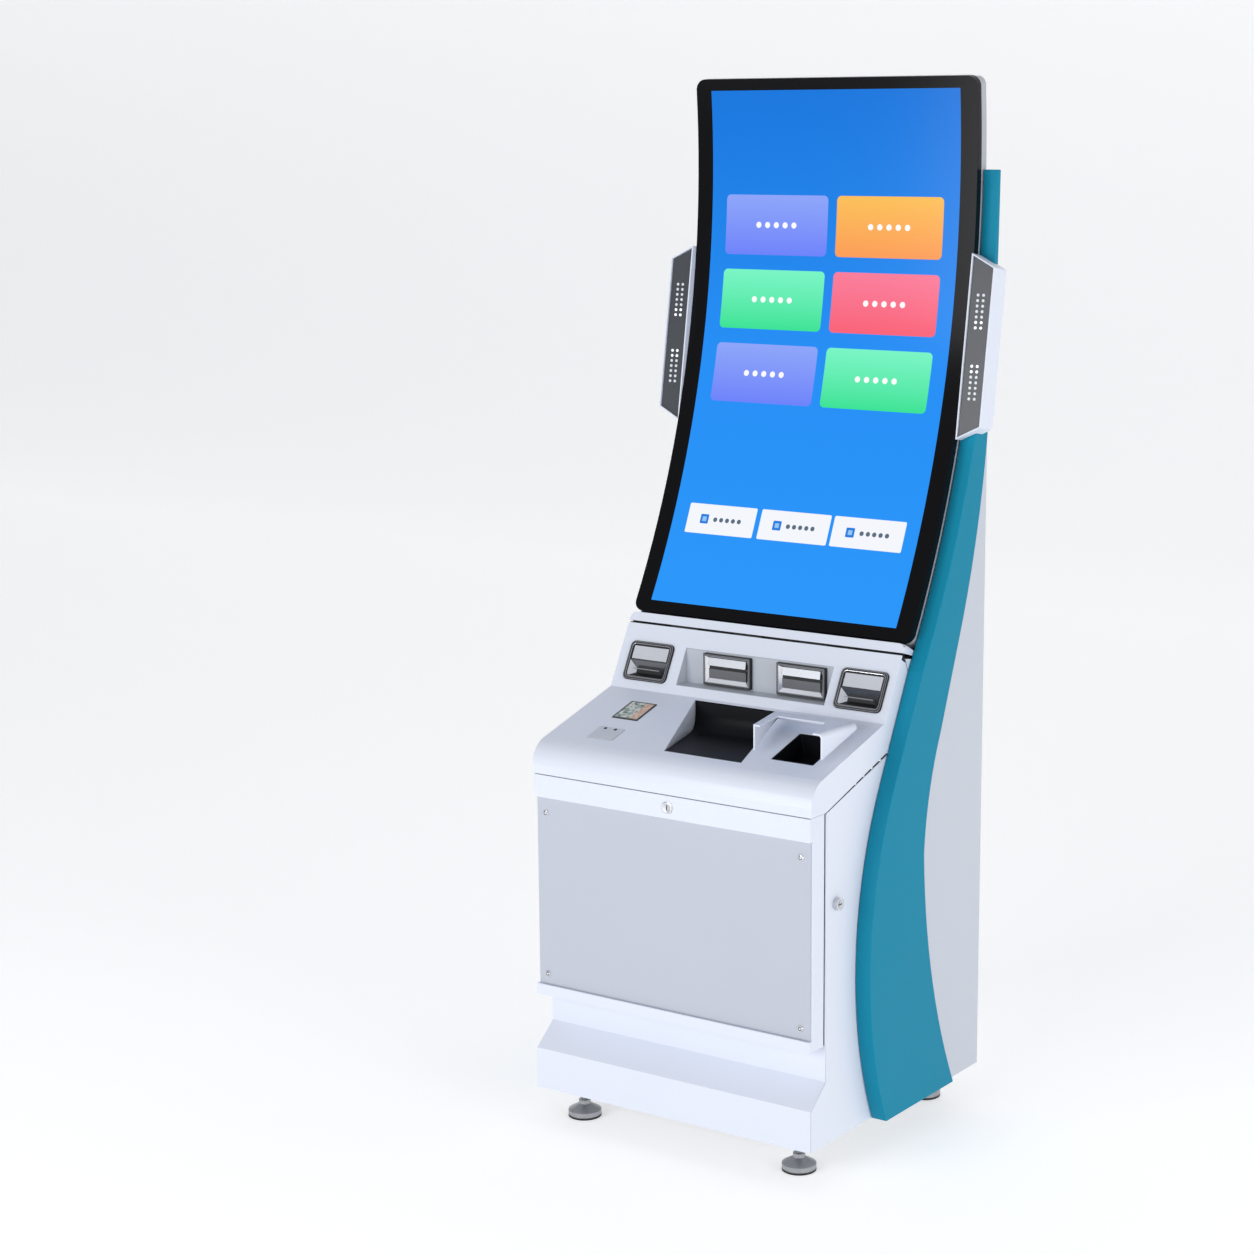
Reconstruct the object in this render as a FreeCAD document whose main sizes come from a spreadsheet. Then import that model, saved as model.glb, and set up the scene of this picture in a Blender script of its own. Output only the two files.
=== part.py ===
import FreeCAD, Part
import math
import os
import Sketcher

# A free-standing cash kiosk: a levelled steel cabinet with a front service
# door, a lifting console hood with the card, note, receipt and coin openings,
# and a tall curved display between two coloured wing panels.
# Millimetres.  +X is to the user's right, +Y goes back, +Z goes up.  The origin
# is on the floor, in the middle of the machine's footprint.

doc = FreeCAD.newDocument("cash_kiosk")
sheet = doc.addObject("Spreadsheet::Sheet", "Sizes")
aliases = []
nodes = []
pockets = []


class Size:
    """A length or angle that carries its number and its sheet expression."""

    def __init__(self, value, text):
        self.value = float(value)
        self.text = text

    def __add__(self, other):
        other = as_size(other)
        return Size(self.value + other.value, f"({self.text} + {other.text})")

    def __sub__(self, other):
        other = as_size(other)
        return Size(self.value - other.value, f"({self.text} - {other.text})")

    def __mul__(self, other):
        other = as_size(other)
        return Size(self.value * other.value, f"({self.text} * {other.text})")

    def __truediv__(self, other):
        other = as_size(other)
        return Size(self.value / other.value, f"({self.text} / {other.text})")

    def __neg__(self):
        return Size(-self.value, f"(-1 * {self.text})")

    def __radd__(self, other):
        return as_size(other) + self

    def __rsub__(self, other):
        return as_size(other) - self

    def __rmul__(self, other):
        return as_size(other) * self


def as_size(value):
    """Turns a plain number into a Size."""
    if isinstance(value, Size):
        return value
    return Size(value, f"({value:.6f})")


def sine(angle):
    return Size(math.sin(math.radians(angle.value)), f"sin({angle.text})")


def cosine(angle):
    return Size(math.cos(math.radians(angle.value)), f"cos({angle.text})")


def arcsine(ratio):
    return Size(math.degrees(math.asin(ratio.value)), f"(asin({ratio.text}) / 1 deg)")


def size(alias, value):
    """Writes one driving size into the next row of the sheet."""
    aliases.append(alias)
    row = len(aliases)
    sheet.set(f"A{row}", alias)
    sheet.set(f"B{row}", str(value))
    sheet.setAlias(f"B{row}", alias)
    return Size(value, f"Sizes.{alias}")


def bind(item, **values):
    """Binds an object's properties to sheet expressions."""
    for name, value in values.items():
        item.setExpression(name, as_size(value).text)


def place(item, across=0, back=0, up=0, axis=None, angle=0):
    """Puts an object at a point, turned about an axis by a bound angle."""
    if axis is not None:
        turn = FreeCAD.Rotation(FreeCAD.Vector(*axis), as_size(angle).value)
        item.Placement = FreeCAD.Placement(FreeCAD.Vector(), turn)
        item.setExpression("Placement.Rotation.Angle", as_size(angle).text)
    item.setExpression("Placement.Base.x", as_size(across).text)
    item.setExpression("Placement.Base.y", as_size(back).text)
    item.setExpression("Placement.Base.z", as_size(up).text)
    return item


def node(item, label):
    """Marks an object as one separate piece of the machine."""
    item.Label = label
    nodes.append(item)
    return item


# ---------------------------------------------------------------- sketches

PLANES = {"side": "YZ_Plane", "front": "XZ_Plane", "top": "XY_Plane"}


def pin_point(sketch, edge, end, across, along):
    """Ties an edge's end to its distances from the sketch's origin."""
    for kind, axis, value in (("DistanceX", -2, across), ("DistanceY", -1, along)):
        value = as_size(value)
        if abs(value.value) < 1e-9:
            sketch.addConstraint(Sketcher.Constraint("PointOnObject", edge, end, axis))
        elif value.value > 0:
            rule = Sketcher.Constraint(kind, -1, 1, edge, end, value.value)
            sketch.setExpression(f"Constraints[{sketch.addConstraint(rule)}]", value.text)
        else:
            rule = Sketcher.Constraint(kind, edge, end, -1, 1, -value.value)
            sketch.setExpression(f"Constraints[{sketch.addConstraint(rule)}]", (-value).text)


def draw_circle(sketch, across, along, radius):
    """Draws one round hole or disc."""
    middle = FreeCAD.Vector(as_size(across).value, as_size(along).value, 0)
    normal = FreeCAD.Vector(0, 0, 1)
    edge = sketch.addGeometry(Part.Circle(middle, normal, as_size(radius).value), False)
    pin_point(sketch, edge, 3, across, along)
    rule = Sketcher.Constraint("Radius", edge, as_size(radius).value)
    sketch.setExpression(f"Constraints[{sketch.addConstraint(rule)}]", as_size(radius).text)


def arc_between(start, stop, radius):
    """The shorter arc from start to stop; a negative radius turns clockwise."""
    if radius < 0:
        return arc_between(stop, start, -radius)
    half = (stop - start) * 0.5
    rise = math.sqrt(max(radius * radius - half.Length ** 2, 0.0))
    normal = FreeCAD.Vector(-half.y, half.x, 0).normalize()
    middle = start + half + normal * rise
    low = math.atan2(start.y - middle.y, start.x - middle.x)
    high = math.atan2(stop.y - middle.y, stop.x - middle.x)
    circle = Part.Circle(middle, FreeCAD.Vector(0, 0, 1), radius)
    return Part.ArcOfCircle(circle, low, high)


def draw_outline(sketch, points):
    """Draws a closed outline of points (across, along).

    A third value is the radius of the arc that leaves the point; it is
    negative where the outline turns clockwise.
    """
    spots = [FreeCAD.Vector(as_size(p[0]).value, as_size(p[1]).value, 0) for p in points]
    starts = []
    for index, point in enumerate(points):
        start = spots[index]
        stop = spots[(index + 1) % len(points)]
        radius = point[2] if len(point) > 2 else None
        if radius is None:
            shape = Part.LineSegment(start, stop)
        else:
            shape = arc_between(start, stop, as_size(radius).value)
        clockwise = radius is not None and as_size(radius).value < 0
        starts.append((sketch.addGeometry(shape, False), 2 if clockwise else 1))
    for index, point in enumerate(points):
        edge, end = starts[index]
        pin_point(sketch, edge, end, point[0], point[1])
        following, joined = starts[(index + 1) % len(points)]
        link = Sketcher.Constraint("Coincident", edge, 3 - end, following, joined)
        sketch.addConstraint(link)
        if len(point) > 2:
            radius = as_size(point[2])
            radius = -radius if radius.value < 0 else radius
            rule = Sketcher.Constraint("Radius", edge, radius.value)
            sketch.setExpression(f"Constraints[{sketch.addConstraint(rule)}]", radius.text)


def draw(body, name, plane, loops, offset):
    """Draws loops on one of a body's own planes, moved along its normal."""
    sketch = body.newObject("Sketcher::SketchObject", name)
    for feature in body.Origin.OriginFeatures:
        if feature.Role == PLANES[plane]:
            sketch.AttachmentSupport = [(feature, "")]
    sketch.MapMode = "FlatFace"
    sketch.setExpression("AttachmentOffset.Base.z", as_size(offset).text)
    for loop in loops:
        if loop[0] == "circle":
            draw_circle(sketch, *loop[1:])
        else:
            draw_outline(sketch, loop)
    return sketch


def extrude(name, plane, loops, start, stop):
    """A body padded from start to stop along the plane's axis."""
    body = doc.addObject("PartDesign::Body", name)
    offset = -as_size(stop) if plane == "front" else as_size(start)
    sketch = draw(body, name + "_outline", plane, loops, offset)
    pad = body.newObject("PartDesign::Pad", name + "_pad")
    pad.Profile = sketch
    bind(pad, Length=as_size(stop) - start)
    body.Tip = pad
    return body


def carve(body, plane, loops, start, stop):
    """Cuts the loops out of a body, from start to stop along the axis."""
    count = len(pockets)
    offset = -as_size(start) if plane == "front" else as_size(stop)
    sketch = draw(body, f"{body.Name}_cut_{count}", plane, loops, offset)
    pocket = body.newObject("PartDesign::Pocket", f"{body.Name}_pocket_{count}")
    pocket.Profile = sketch
    bind(pocket, Length=as_size(stop) - start)
    body.Tip = pocket
    pockets.append(pocket)
    return body


def rectangle(left, low, right, high):
    return [(left, low), (right, low), (right, high), (left, high)]


def rounded(left, low, right, high, radius):
    """A rectangle with four equal round corners."""
    left, low, right, high = (as_size(v) for v in (left, low, right, high))
    return [
        (left + radius, low), (right - radius, low, radius),
        (right, low + radius), (right, high - radius, radius),
        (right - radius, high), (left + radius, high, radius),
        (left, high - radius), (left, low + radius, radius),
    ]


# -------------------------------------------------------------- primitives

def box(name, low, lengths):
    """A block from its low corner and its three lengths."""
    item = doc.addObject("Part::Box", name)
    bind(item, Length=lengths[0], Width=lengths[1], Height=lengths[2])
    return place(item, *low)


def block(name, low, high):
    """A block between two corners."""
    return box(name, low, [as_size(b) - a for a, b in zip(low, high)])


TURNS = {"X": ((0, 1, 0), 90), "Y": ((1, 0, 0), -90), "Z": (None, 0)}


def rod(name, start, length, radius, along="Z"):
    """A round bar from its start point along an axis."""
    item = doc.addObject("Part::Cylinder", name)
    bind(item, Radius=radius, Height=length)
    axis, angle = TURNS[along]
    return place(item, *start, axis=axis, angle=angle)


def taper(name, low, high, spread):
    """A funnel along +Y: the outline at low grows or shrinks by spread at high."""
    item = doc.addObject("Part::Wedge", name)
    (x0, y0, z0), (x1, y1, z1) = low, high
    bind(item, Xmin=x0, Xmax=x1, Ymin=y0, Ymax=y1, Zmin=z0, Zmax=z1)
    bind(item, X2min=as_size(x0) - spread, X2max=as_size(x1) + spread)
    bind(item, Z2min=as_size(z0) - spread, Z2max=as_size(z1) + spread)
    return item


def wedge_block(name, low, high):
    """A block in its own frame, so that it can be turned and moved as a whole."""
    return taper(name, low, high, 0)


def cut(name, base, *tools):
    """Base less its tools."""
    tool = tools[0] if len(tools) == 1 else fuse(name + "_tools", *tools)
    item = doc.addObject("Part::Cut", name)
    item.Base = base
    item.Tool = tool
    return item


def fuse(name, *parts):
    item = doc.addObject("Part::MultiFuse", name)
    item.Shapes = list(parts)
    return item


def group(name, *parts):
    """Separate solids that share one node."""
    item = doc.addObject("Part::Compound", name)
    item.Links = list(parts)
    return item


# ------------------------------------------------------------ driving sizes

steel = size("steel", 2)
seam = size("seam", 1.5)
body_width = size("body_width", 590)
body_depth = size("body_depth", 557)
foot_height = size("foot_height", 62)
lock_proud = size("lock_proud", 1.5)
half = body_width / 2

# Worktop and head panel of the console hood, as seen from the side
worktop_rise = size("worktop_rise", 639.2)
worktop_slope = size("worktop_slope", 16.3)
head_foot = size("head_foot", 235)
head_lean = size("head_lean", 27.6)
head_length = size("head_length", 126)
head_top_back = head_foot + head_length * sine(head_lean)
head_foot_up = worktop_rise + head_foot * sine(worktop_slope) / cosine(worktop_slope)
head_top_up = head_foot_up + head_length * cosine(head_lean)

# Curved display: the front glass is part of a cylinder whose axis lies in
# front of the machine; angles are measured at that axis from the horizontal.
# Its picture starts a little above and behind the top of the head panel.
screen_radius = size("screen_radius", 1650)
screen_run = size("screen_run", 29.6)
screen_rise = size("screen_rise", 40.4)
screen_foot_back = head_top_back + screen_run
screen_foot_up = head_top_up + screen_rise
screen_low = size("screen_low", -29.08)
bezel_depth = size("bezel_depth", 15)
light_depth = size("light_depth", 25)
shell_depth = size("shell_depth", 3)
shell_screw = size("shell_screw", 2)
layer_gap = size("layer_gap", 0.3)
axis_back = screen_foot_back - screen_radius * cosine(screen_low)
axis_up = screen_foot_up - screen_radius * sine(screen_low)
shell_start = bezel_depth + light_depth + layer_gap
shell_back = shell_start + shell_depth
rear_most = axis_back + screen_radius + shell_back + shell_screw

# Every place below is measured back from the cabinet's front face and up
# from its underside; these two put such a distance into the machine's frame,
# whose origin is midway between the foremost lock and the rearmost screws.
front_face = (lock_proud - rear_most) / 2


def back(distance):
    return front_face + distance


def up(distance):
    return foot_height + distance


def on_arc(angle, offset):
    """A point on the display's cylinder, offset to its rear: (back, up)."""
    radius = screen_radius + offset
    return (back(axis_back + radius * cosine(angle)), up(axis_up + radius * sine(angle)))


def arc_angle(level, offset):
    """The angle at which the display's cylinder reaches a level."""
    return arcsine((as_size(level) - axis_up) / (screen_radius + offset))


# Toe recess and front door
toe_rise = size("toe_rise", 75)
toe_top = size("toe_top", 115)
toe_depth = size("toe_depth", 47)
door_low = size("door_low", 178)
door_height = size("door_height", 410.5)
door_thick = size("door_thick", 45)
door_inset = size("door_inset", 2.5)
lip_height = size("lip_height", 20)
band_height = size("band_height", 41)
plate_recess = size("plate_recess", 6)
plate_thick = size("plate_thick", 3)
door_high = door_low + door_height
seam_level = door_high + seam

# Console hood
seam_rise = size("seam_rise", 64)
seam_run = size("seam_run", 194.5)
nose_radius = size("nose_radius", 45)
hinge_depth = size("hinge_depth", 4.2)

# Display outline
glass_low = size("glass_low", -29.88)
glass_high = size("glass_high", 5.22)
glass_overhang = size("glass_overhang", 3)
picture_width = size("picture_width", 529)
picture_high = size("picture_high", 4.48)
glass_corner = size("glass_corner", 20)
glass_thick = size("glass_thick", 3)
glass_width = body_width + 2 * glass_overhang
panel_margin = size("panel_margin", 4)
panel_depth = size("panel_depth", 23)
ring_margin = size("ring_margin", 0.6)

# Wing panels
wing_back = size("wing_back", 566)
wing_thick = size("wing_thick", 30)
wing_gap = size("wing_gap", 1)
wing_setback = size("wing_setback", 26)
wing_foot_front = size("wing_foot_front", 201.6)
wing_foot_back = size("wing_foot_back", 443)
wing_waist = size("wing_waist", 326)
wing_waist_up = size("wing_waist_up", 460)
wing_knee = size("wing_knee", 215)
wing_knee_up = size("wing_knee_up", 595)
wing_top = size("wing_top", 1650)
wing_low = size("wing_low", -31.3)
chest_run = size("wing_chest_run", 55)
chest_rise = size("wing_chest_rise", 214)
shoulder_run = size("wing_shoulder_run", 115)
shoulder_rise = size("wing_shoulder_rise", 367)
nape_run = size("wing_nape_run", 33)
nape_rise = size("wing_nape_rise", 715)
wing_heel_radius = size("wing_heel_radius", 714)
wing_in = half + wing_gap
wing_out = wing_in + wing_thick
cover_thick = size("cover_thick", 17)
cover_out = wing_in + cover_thick
cover_top = size("cover_top", 1188)

# ------------------------------------------------------------------ cabinet

wall_inner = half - steel
fit_gap = size("fit_gap", 0.5)
inside = wall_inner - fit_gap

seam_break = toe_depth - steel
seam_end_back = seam_break + seam_run
seam_end_up = seam_level + seam_rise
wall_clear = size("wall_clear", 2.5)
hinge_shoulder = size("hinge_shoulder", 9)
parting_run = size("parting_run", 21)
parting_fall = size("parting_fall", 34.7)
column_gap = size("column_gap", 8)
column_foot = size("column_foot", 0.5)
throat_fall = size("throat_fall", 26)
column_offset = bezel_depth + light_depth + column_gap

# The hood's side wall and the cabinet's side wall meet along this line: it
# leaves the console's seam, passes behind the wing's edge and ends at the hinge.
parting = [
    (head_top_back + hinge_shoulder, head_top_up - hinge_shoulder + 1),
    (head_top_back + parting_run, head_top_up - parting_fall),
    (seam_end_back + hinge_shoulder, seam_end_up + 1),
]


def side_wall(name, start, stop, holes):
    """The one-piece side sheet, from the plinth to the display's back."""
    column_start = on_arc(glass_low + column_foot, column_offset)
    column_stop = on_arc(arc_angle(cover_top, column_offset), column_offset)
    behind_plinth = steel + fit_gap
    points = [
        (back(behind_plinth), up(0)),
        (back(body_depth - steel), up(0)),
        (back(body_depth - steel), up(cover_top)),
        (column_stop[0], up(cover_top), -(screen_radius + column_offset)),
        column_start,
        (column_start[0] - column_gap, column_start[1] - throat_fall),
        (back(parting[0][0] + wall_clear), up(parting[0][1])),
        (back(parting[1][0] + wall_clear), up(parting[1][1])),
        (back(parting[2][0] + wall_clear), up(seam_end_up - seam)),
        (back(seam_break + steel), up(seam_level - seam)),
        (back(seam_break + steel), up(door_low + steel + fit_gap)),
        (back(toe_depth + behind_plinth), up(door_low + steel + fit_gap)),
        (back(toe_depth + behind_plinth), up(toe_top - steel)),
        (back(behind_plinth), up(toe_rise - steel)),
    ]
    body = extrude(name, "side", [points] + holes, start, stop)
    return node(body, name)


side_lock_back = size("side_lock_back", 79)
side_lock_up = size("side_lock_up", 424.5)
lock_hole = size("lock_hole", 9.6)
side_wall("side_wall_left", -half, -wall_inner, [])
lock_opening = ("circle", back(side_lock_back), up(side_lock_up), lock_hole)
side_wall("side_wall_right", wall_inner, half, [lock_opening])

# Folded plinth sheet between the side walls: a kick face, a slope and the
# strip behind the toe recess.
plinth_points = [
    (back(0), up(0)), (back(steel), up(0)), (back(steel), up(toe_rise - steel / 2)),
    (back(toe_depth + steel), up(toe_top - steel / 2)), (back(toe_depth + steel), up(door_low + steel)),
    (back(toe_depth), up(door_low + steel)), (back(toe_depth), up(toe_top)), (back(0), up(toe_rise)),
]
node(extrude("plinth_front", "side", [plinth_points], -half, half), "plinth_front")

# Floor plate: four foot holes, four anchor holes and a cable entry.
floor_sheet = size("floor_sheet", 4)
foot_inset = size("foot_inset", 61)
stem_radius = size("stem_radius", 6)
anchor_spacing_x = size("anchor_spacing_x", 360)
anchor_spacing_y = size("anchor_spacing_y", 300)
anchor_radius = size("anchor_radius", 7)
anchor_back = size("anchor_back", 290)
entry_radius = size("entry_radius", 30)
entry_back = size("entry_back", 470)
stem_clear = size("stem_clear", 0.4)
foot_across = half - foot_inset
foot_backs = (foot_inset, body_depth - foot_inset)
floor_loops = [rectangle(-inside, back(steel + fit_gap), inside, back(body_depth - steel))]
for side in (-1, 1):
    for distance in foot_backs:
        floor_loops.append(("circle", side * foot_across, back(distance), stem_radius + stem_clear))
    for end in (-1, 1):
        hole_back = back(anchor_back + end * anchor_spacing_y / 2)
        floor_loops.append(("circle", side * anchor_spacing_x / 2, hole_back, anchor_radius))
floor_loops.append(("circle", 0, back(entry_back), entry_radius))
node(extrude("floor_plate", "top", floor_loops, up(0), up(floor_sheet)), "floor_plate")

# Door frames inside the front and rear of the cabinet.
frame_margin = size("frame_margin", 25)
frame_low = size("frame_low", 195)
frame_high = size("frame_high", 580)
rear_sill = size("rear_sill", 45)
rear_header = size("rear_header", 40)
rear_door_top = size("rear_door_top", 702)
rear_door_low = size("rear_door_low", 14)
rear_door_thick = size("rear_door_thick", 14)
rear_frame_back = body_depth - rear_door_thick - seam - 2 * steel
front_frame = extrude("front_frame", "front", [
    rectangle(-inside, up(door_low + steel + fit_gap), inside, up(seam_level - seam)),
    rectangle(-inside + frame_margin, up(frame_low), inside - frame_margin, up(frame_high)),
], back(toe_depth + steel), back(toe_depth + 2 * steel))
node(front_frame, "front_frame")
rear_frame = extrude("rear_frame", "front", [
    rectangle(-inside, up(floor_sheet + fit_gap), inside, up(rear_door_top)),
    rectangle(-inside + frame_margin, up(rear_sill), inside - frame_margin, up(rear_door_top - rear_header)),
], back(rear_frame_back), back(rear_frame_back + steel))
node(rear_frame, "rear_frame")

# Column cover: one folded sheet, the rear skin above the rear door and the
# cap that closes the column under the display.
cap_front = on_arc(arc_angle(cover_top, column_offset), column_offset)[0]
inlet_across = size("inlet_across", 200)
inlet_up = size("inlet_up", 760)
inlet_half = size("inlet_half", 14)
inlet_rim = size("inlet_rim", 8)
column_cover = extrude("column_cover", "side", [[
    (back(body_depth - 2 * steel), up(rear_door_top + seam)),
    (back(body_depth - steel), up(rear_door_top + seam)),
    (back(body_depth - steel), up(cover_top)), (cap_front, up(cover_top)),
    (cap_front, up(cover_top - steel)), (back(body_depth - 2 * steel), up(cover_top - steel)),
]], -inside, inside)
inlet_hole = inlet_half + fit_gap
carve(column_cover, "front", [
    rectangle(inlet_across - inlet_hole, up(inlet_up - inlet_hole), inlet_across + inlet_hole, up(inlet_up + inlet_hole)),
], back(body_depth - 3 * steel), back(body_depth + 1))
node(column_cover, "column_cover")

# ------------------------------------------------------- wings and covers


heel_curve = -size("wing_rear_heel", 1110)
waist_curve = -size("wing_rear_waist", 584)
back_curve = size("wing_rear_back", 1480)
crown_curve = size("wing_rear_crown", 3500)


def wing_outline(gap):
    """The wing panel's S-shaped edge; gap grows it on every side."""
    offset = wing_setback - gap
    low = on_arc(wing_low, offset)
    high = on_arc(arc_angle(wing_top + gap, offset), offset)
    return [
        (back(wing_foot_front - gap), up(-gap)),
        (back(wing_foot_back + gap), up(-gap), heel_curve),
        (back(wing_waist + gap), up(wing_waist_up), waist_curve),
        (back(wing_waist + chest_run + gap), up(wing_waist_up + chest_rise)),
        (back(wing_waist + shoulder_run + gap), up(wing_waist_up + shoulder_rise), back_curve),
        (back(wing_back - nape_run + gap), up(wing_waist_up + nape_rise), crown_curve),
        (back(wing_back + gap), up(wing_top + gap)),
        (high[0], high[1], -(screen_radius + offset)),
        low,
        (back(wing_knee - gap), up(wing_knee_up), wing_heel_radius),
    ]


def cover_outline():
    """The white rear cover: its front edge follows the wing's rear edge."""
    return [
        (back(wing_foot_back + seam), up(0)),
        (back(body_depth), up(0)),
        (back(body_depth), up(cover_top)),
        (back(wing_back - nape_run + 2 * seam), up(cover_top)),
        (back(wing_back - nape_run + seam), up(wing_waist_up + nape_rise), -back_curve),
        (back(wing_waist + shoulder_run + seam), up(wing_waist_up + shoulder_rise)),
        (back(wing_waist + chest_run + seam), up(wing_waist_up + chest_rise), -waist_curve),
        (back(wing_waist + seam), up(wing_waist_up), -heel_curve),
    ]


# The right wing and cover are deep boxed panels; on the left, which stands
# against a wall, the same outlines are flat plates.
flat_thick = size("flat_thick", 2.5)
flat_out = -wing_in - flat_thick
for side, wing_span, cover_span in (("left", (flat_out, -wing_in), (flat_out, -wing_in)),
                                    ("right", (wing_in, wing_out), (wing_in, cover_out))):
    node(extrude(f"wing_panel_{side}", "side", [wing_outline(0)], *wing_span), f"wing_panel_{side}")
    name = f"rear_side_cover_{side}"
    node(extrude(name, "side", [cover_outline()], *cover_span), name)

# Neck: the folded cover between the hood's hinge seam and the display.
neck_gap = size("neck_gap", 3.8)
neck_rise = size("neck_rise", 15)
neck_depth = size("neck_depth", 42)
neck_lean = size("neck_lean", 0.52)
neck_fall = size("neck_fall", 0.575)
neck_skin = size("neck_skin", 2.6)
neck_edge = size("neck_edge", 5.5)
neck_low = (head_top_back + 2, head_top_up + neck_gap)
neck_front = (neck_low[0] + neck_rise * neck_lean, neck_low[1] + neck_rise)
neck_end = (neck_front[0] + neck_depth, neck_front[1] - neck_depth * neck_fall)
neck_fold = neck_skin * (1 + neck_fall) / (1 + neck_fall * neck_lean)
neck_points = [
    (back(neck_low[0]), up(neck_low[1])), (back(neck_end[0]), up(neck_end[1] - neck_edge)),
    (back(neck_end[0]), up(neck_end[1])), (back(neck_front[0]), up(neck_front[1])),
]
neck = extrude("neck_panel", "side", [neck_points], -half, half)
neck_corner = size("neck_corner", 12)
neck_top = up(neck_front[1])
for end in (-1, 1):
    carve(neck, "front", [[
        (end * (half - neck_corner), neck_top), (end * (half - neck_corner), neck_top + 1),
        (end * (half + 1), neck_top + 1), (end * (half + 1), neck_top - neck_corner),
        (end * half, neck_top - neck_corner, end * neck_corner),
    ]], back(neck_low[0] - 1), back(neck_end[0] + 1))
carve(neck, "side", [[
    (back(neck_low[0] + neck_skin - neck_rise * neck_lean), up(neck_low[1] - neck_rise)),
    (back(neck_end[0] + neck_skin), up(neck_end[1] - neck_rise)),
    (back(neck_end[0] + neck_skin), up(neck_end[1] - neck_skin - neck_skin * neck_fall)),
    (back(neck_front[0] + neck_skin - neck_fold * neck_lean), up(neck_front[1] - neck_fold)),
]], -wall_inner, wall_inner)
node(neck, "neck_panel")

# ------------------------------------------------------------------ display


def curved_slab(name, near, far, low, high, width, corner):
    """A slab that follows the display's curve, rounded at its corners."""
    points = [
        on_arc(low, near), on_arc(low, far) + (screen_radius + far,),
        on_arc(high, far), on_arc(high, near) + (-(screen_radius + near),),
    ]
    body = extrude(name, "side", [points], -width / 2, width / 2)
    if corner is not None:
        round_corners(body, corner)
    return body


def round_corners(body, radius):
    """Rounds the four short edges that run through a slab's thickness."""
    doc.recompute()
    slab = body.Tip
    short = []
    for index, edge in enumerate(slab.Shape.Edges, start=1):
        first, last = edge.Vertexes[0].Point, edge.Vertexes[-1].Point
        if abs(first.x - last.x) < 1e-6 and edge.Length < 60:
            short.append(f"Edge{index}")
    fillet = body.newObject("PartDesign::Fillet", body.Name + "_corners")
    fillet.Base = (slab, short)
    bind(fillet, Radius=radius)
    body.Tip = fillet


def window(body, margin, low, high):
    """Cuts the ring's opening, straight through from front to rear."""
    bottom = on_arc(low, 20)
    top = on_arc(high, 20)
    loops = [rectangle(-margin, bottom[1], margin, top[1])]
    carve(body, "front", loops, back(100), back(body_depth + 100))


glass = curved_slab("display_glass", as_size(0), glass_thick, glass_low, glass_high,
                    glass_width, glass_corner)
node(glass, "display_glass")
bezel_start = glass_thick + layer_gap
bezel = curved_slab("bezel_frame", bezel_start, bezel_depth, glass_low, glass_high,
                    glass_width, glass_corner)
window(bezel, picture_width / 2 + 2 * panel_margin, glass_low + ring_margin, glass_high - ring_margin)
node(bezel, "bezel_frame")
panel = curved_slab("lcd_panel", bezel_start, panel_depth, screen_low, picture_high,
                    picture_width + 2 * panel_margin, None)
node(panel, "lcd_panel")
light_start = bezel_depth + layer_gap
light_inset = size("light_inset", 4)
light_width = glass_width - 2 * light_inset
light_wall = size("light_wall", 10)
light = curved_slab("light_band", light_start, bezel_depth + light_depth, glass_low + 0.1,
                    glass_high - 0.1, light_width, glass_corner - light_inset)
window(light, light_width / 2 - light_wall, glass_low + ring_margin, glass_high - ring_margin)
node(light, "light_band")
shell = curved_slab("display_rear_shell", shell_start, shell_start + shell_depth,
                    glass_low + 0.25, glass_high - 0.25, light_width - light_wall, glass_corner - light_inset)
node(shell, "display_rear_shell")

# Electronics box on the shell: its front follows the shell, its rear is upright.
electronics_low = size("electronics_low", -15.6)
electronics_high = size("electronics_high", -6.5)
electronics_width = size("electronics_width", 330)
near_low = on_arc(electronics_low, shell_back + layer_gap)
near_high = on_arc(electronics_high, shell_back + layer_gap)
electronics_back = near_high[0] + seam / 2
electronics = extrude("display_electronics_box", "side", [[
    near_low + (screen_radius + shell_back + layer_gap,), near_high,
    (electronics_back, near_high[1] - light_inset), (electronics_back, near_low[1] + column_gap),
    (electronics_back - column_gap, near_low[1]),
]], -electronics_width / 2, electronics_width / 2)
vent_pitch = size("vent_pitch", 12)
vent_width = size("vent_width", 5)
vent_rise = size("vent_rise", 40)
vent_height = size("vent_height", 110)
vents = []
for column in range(-11, 12):
    middle = column * vent_pitch
    vents.append(rectangle(middle - vent_width / 2, near_low[1] + vent_rise,
                           middle + vent_width / 2, near_low[1] + vent_rise + vent_height))
carve(electronics, "front", vents, electronics_back - 3, electronics_back + 1)
node(electronics, "display_electronics_box")

# Two cross bars carry the display between the column's side walls.
bar_height = size("bar_height", 36)
bar_depth = size("bar_depth", 26)
bar_angle = size("bar_angle", 4.5)
bar_spacing = size("bar_spacing", 6.7)
bars = []
for index, angle in enumerate((glass_low + bar_angle, glass_low + bar_angle + bar_spacing)):
    spot = on_arc(angle, shell_back + layer_gap)
    bar = doc.addObject("Part::Box", f"display_bar_{index}")
    bind(bar, Length=2 * inside, Width=bar_depth, Height=bar_height)
    place(bar, -inside, spot[0], spot[1], axis=(1, 0, 0), angle=angle)
    bars.append(bar)
node(group("display_brackets", *bars), "display_brackets")

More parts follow.
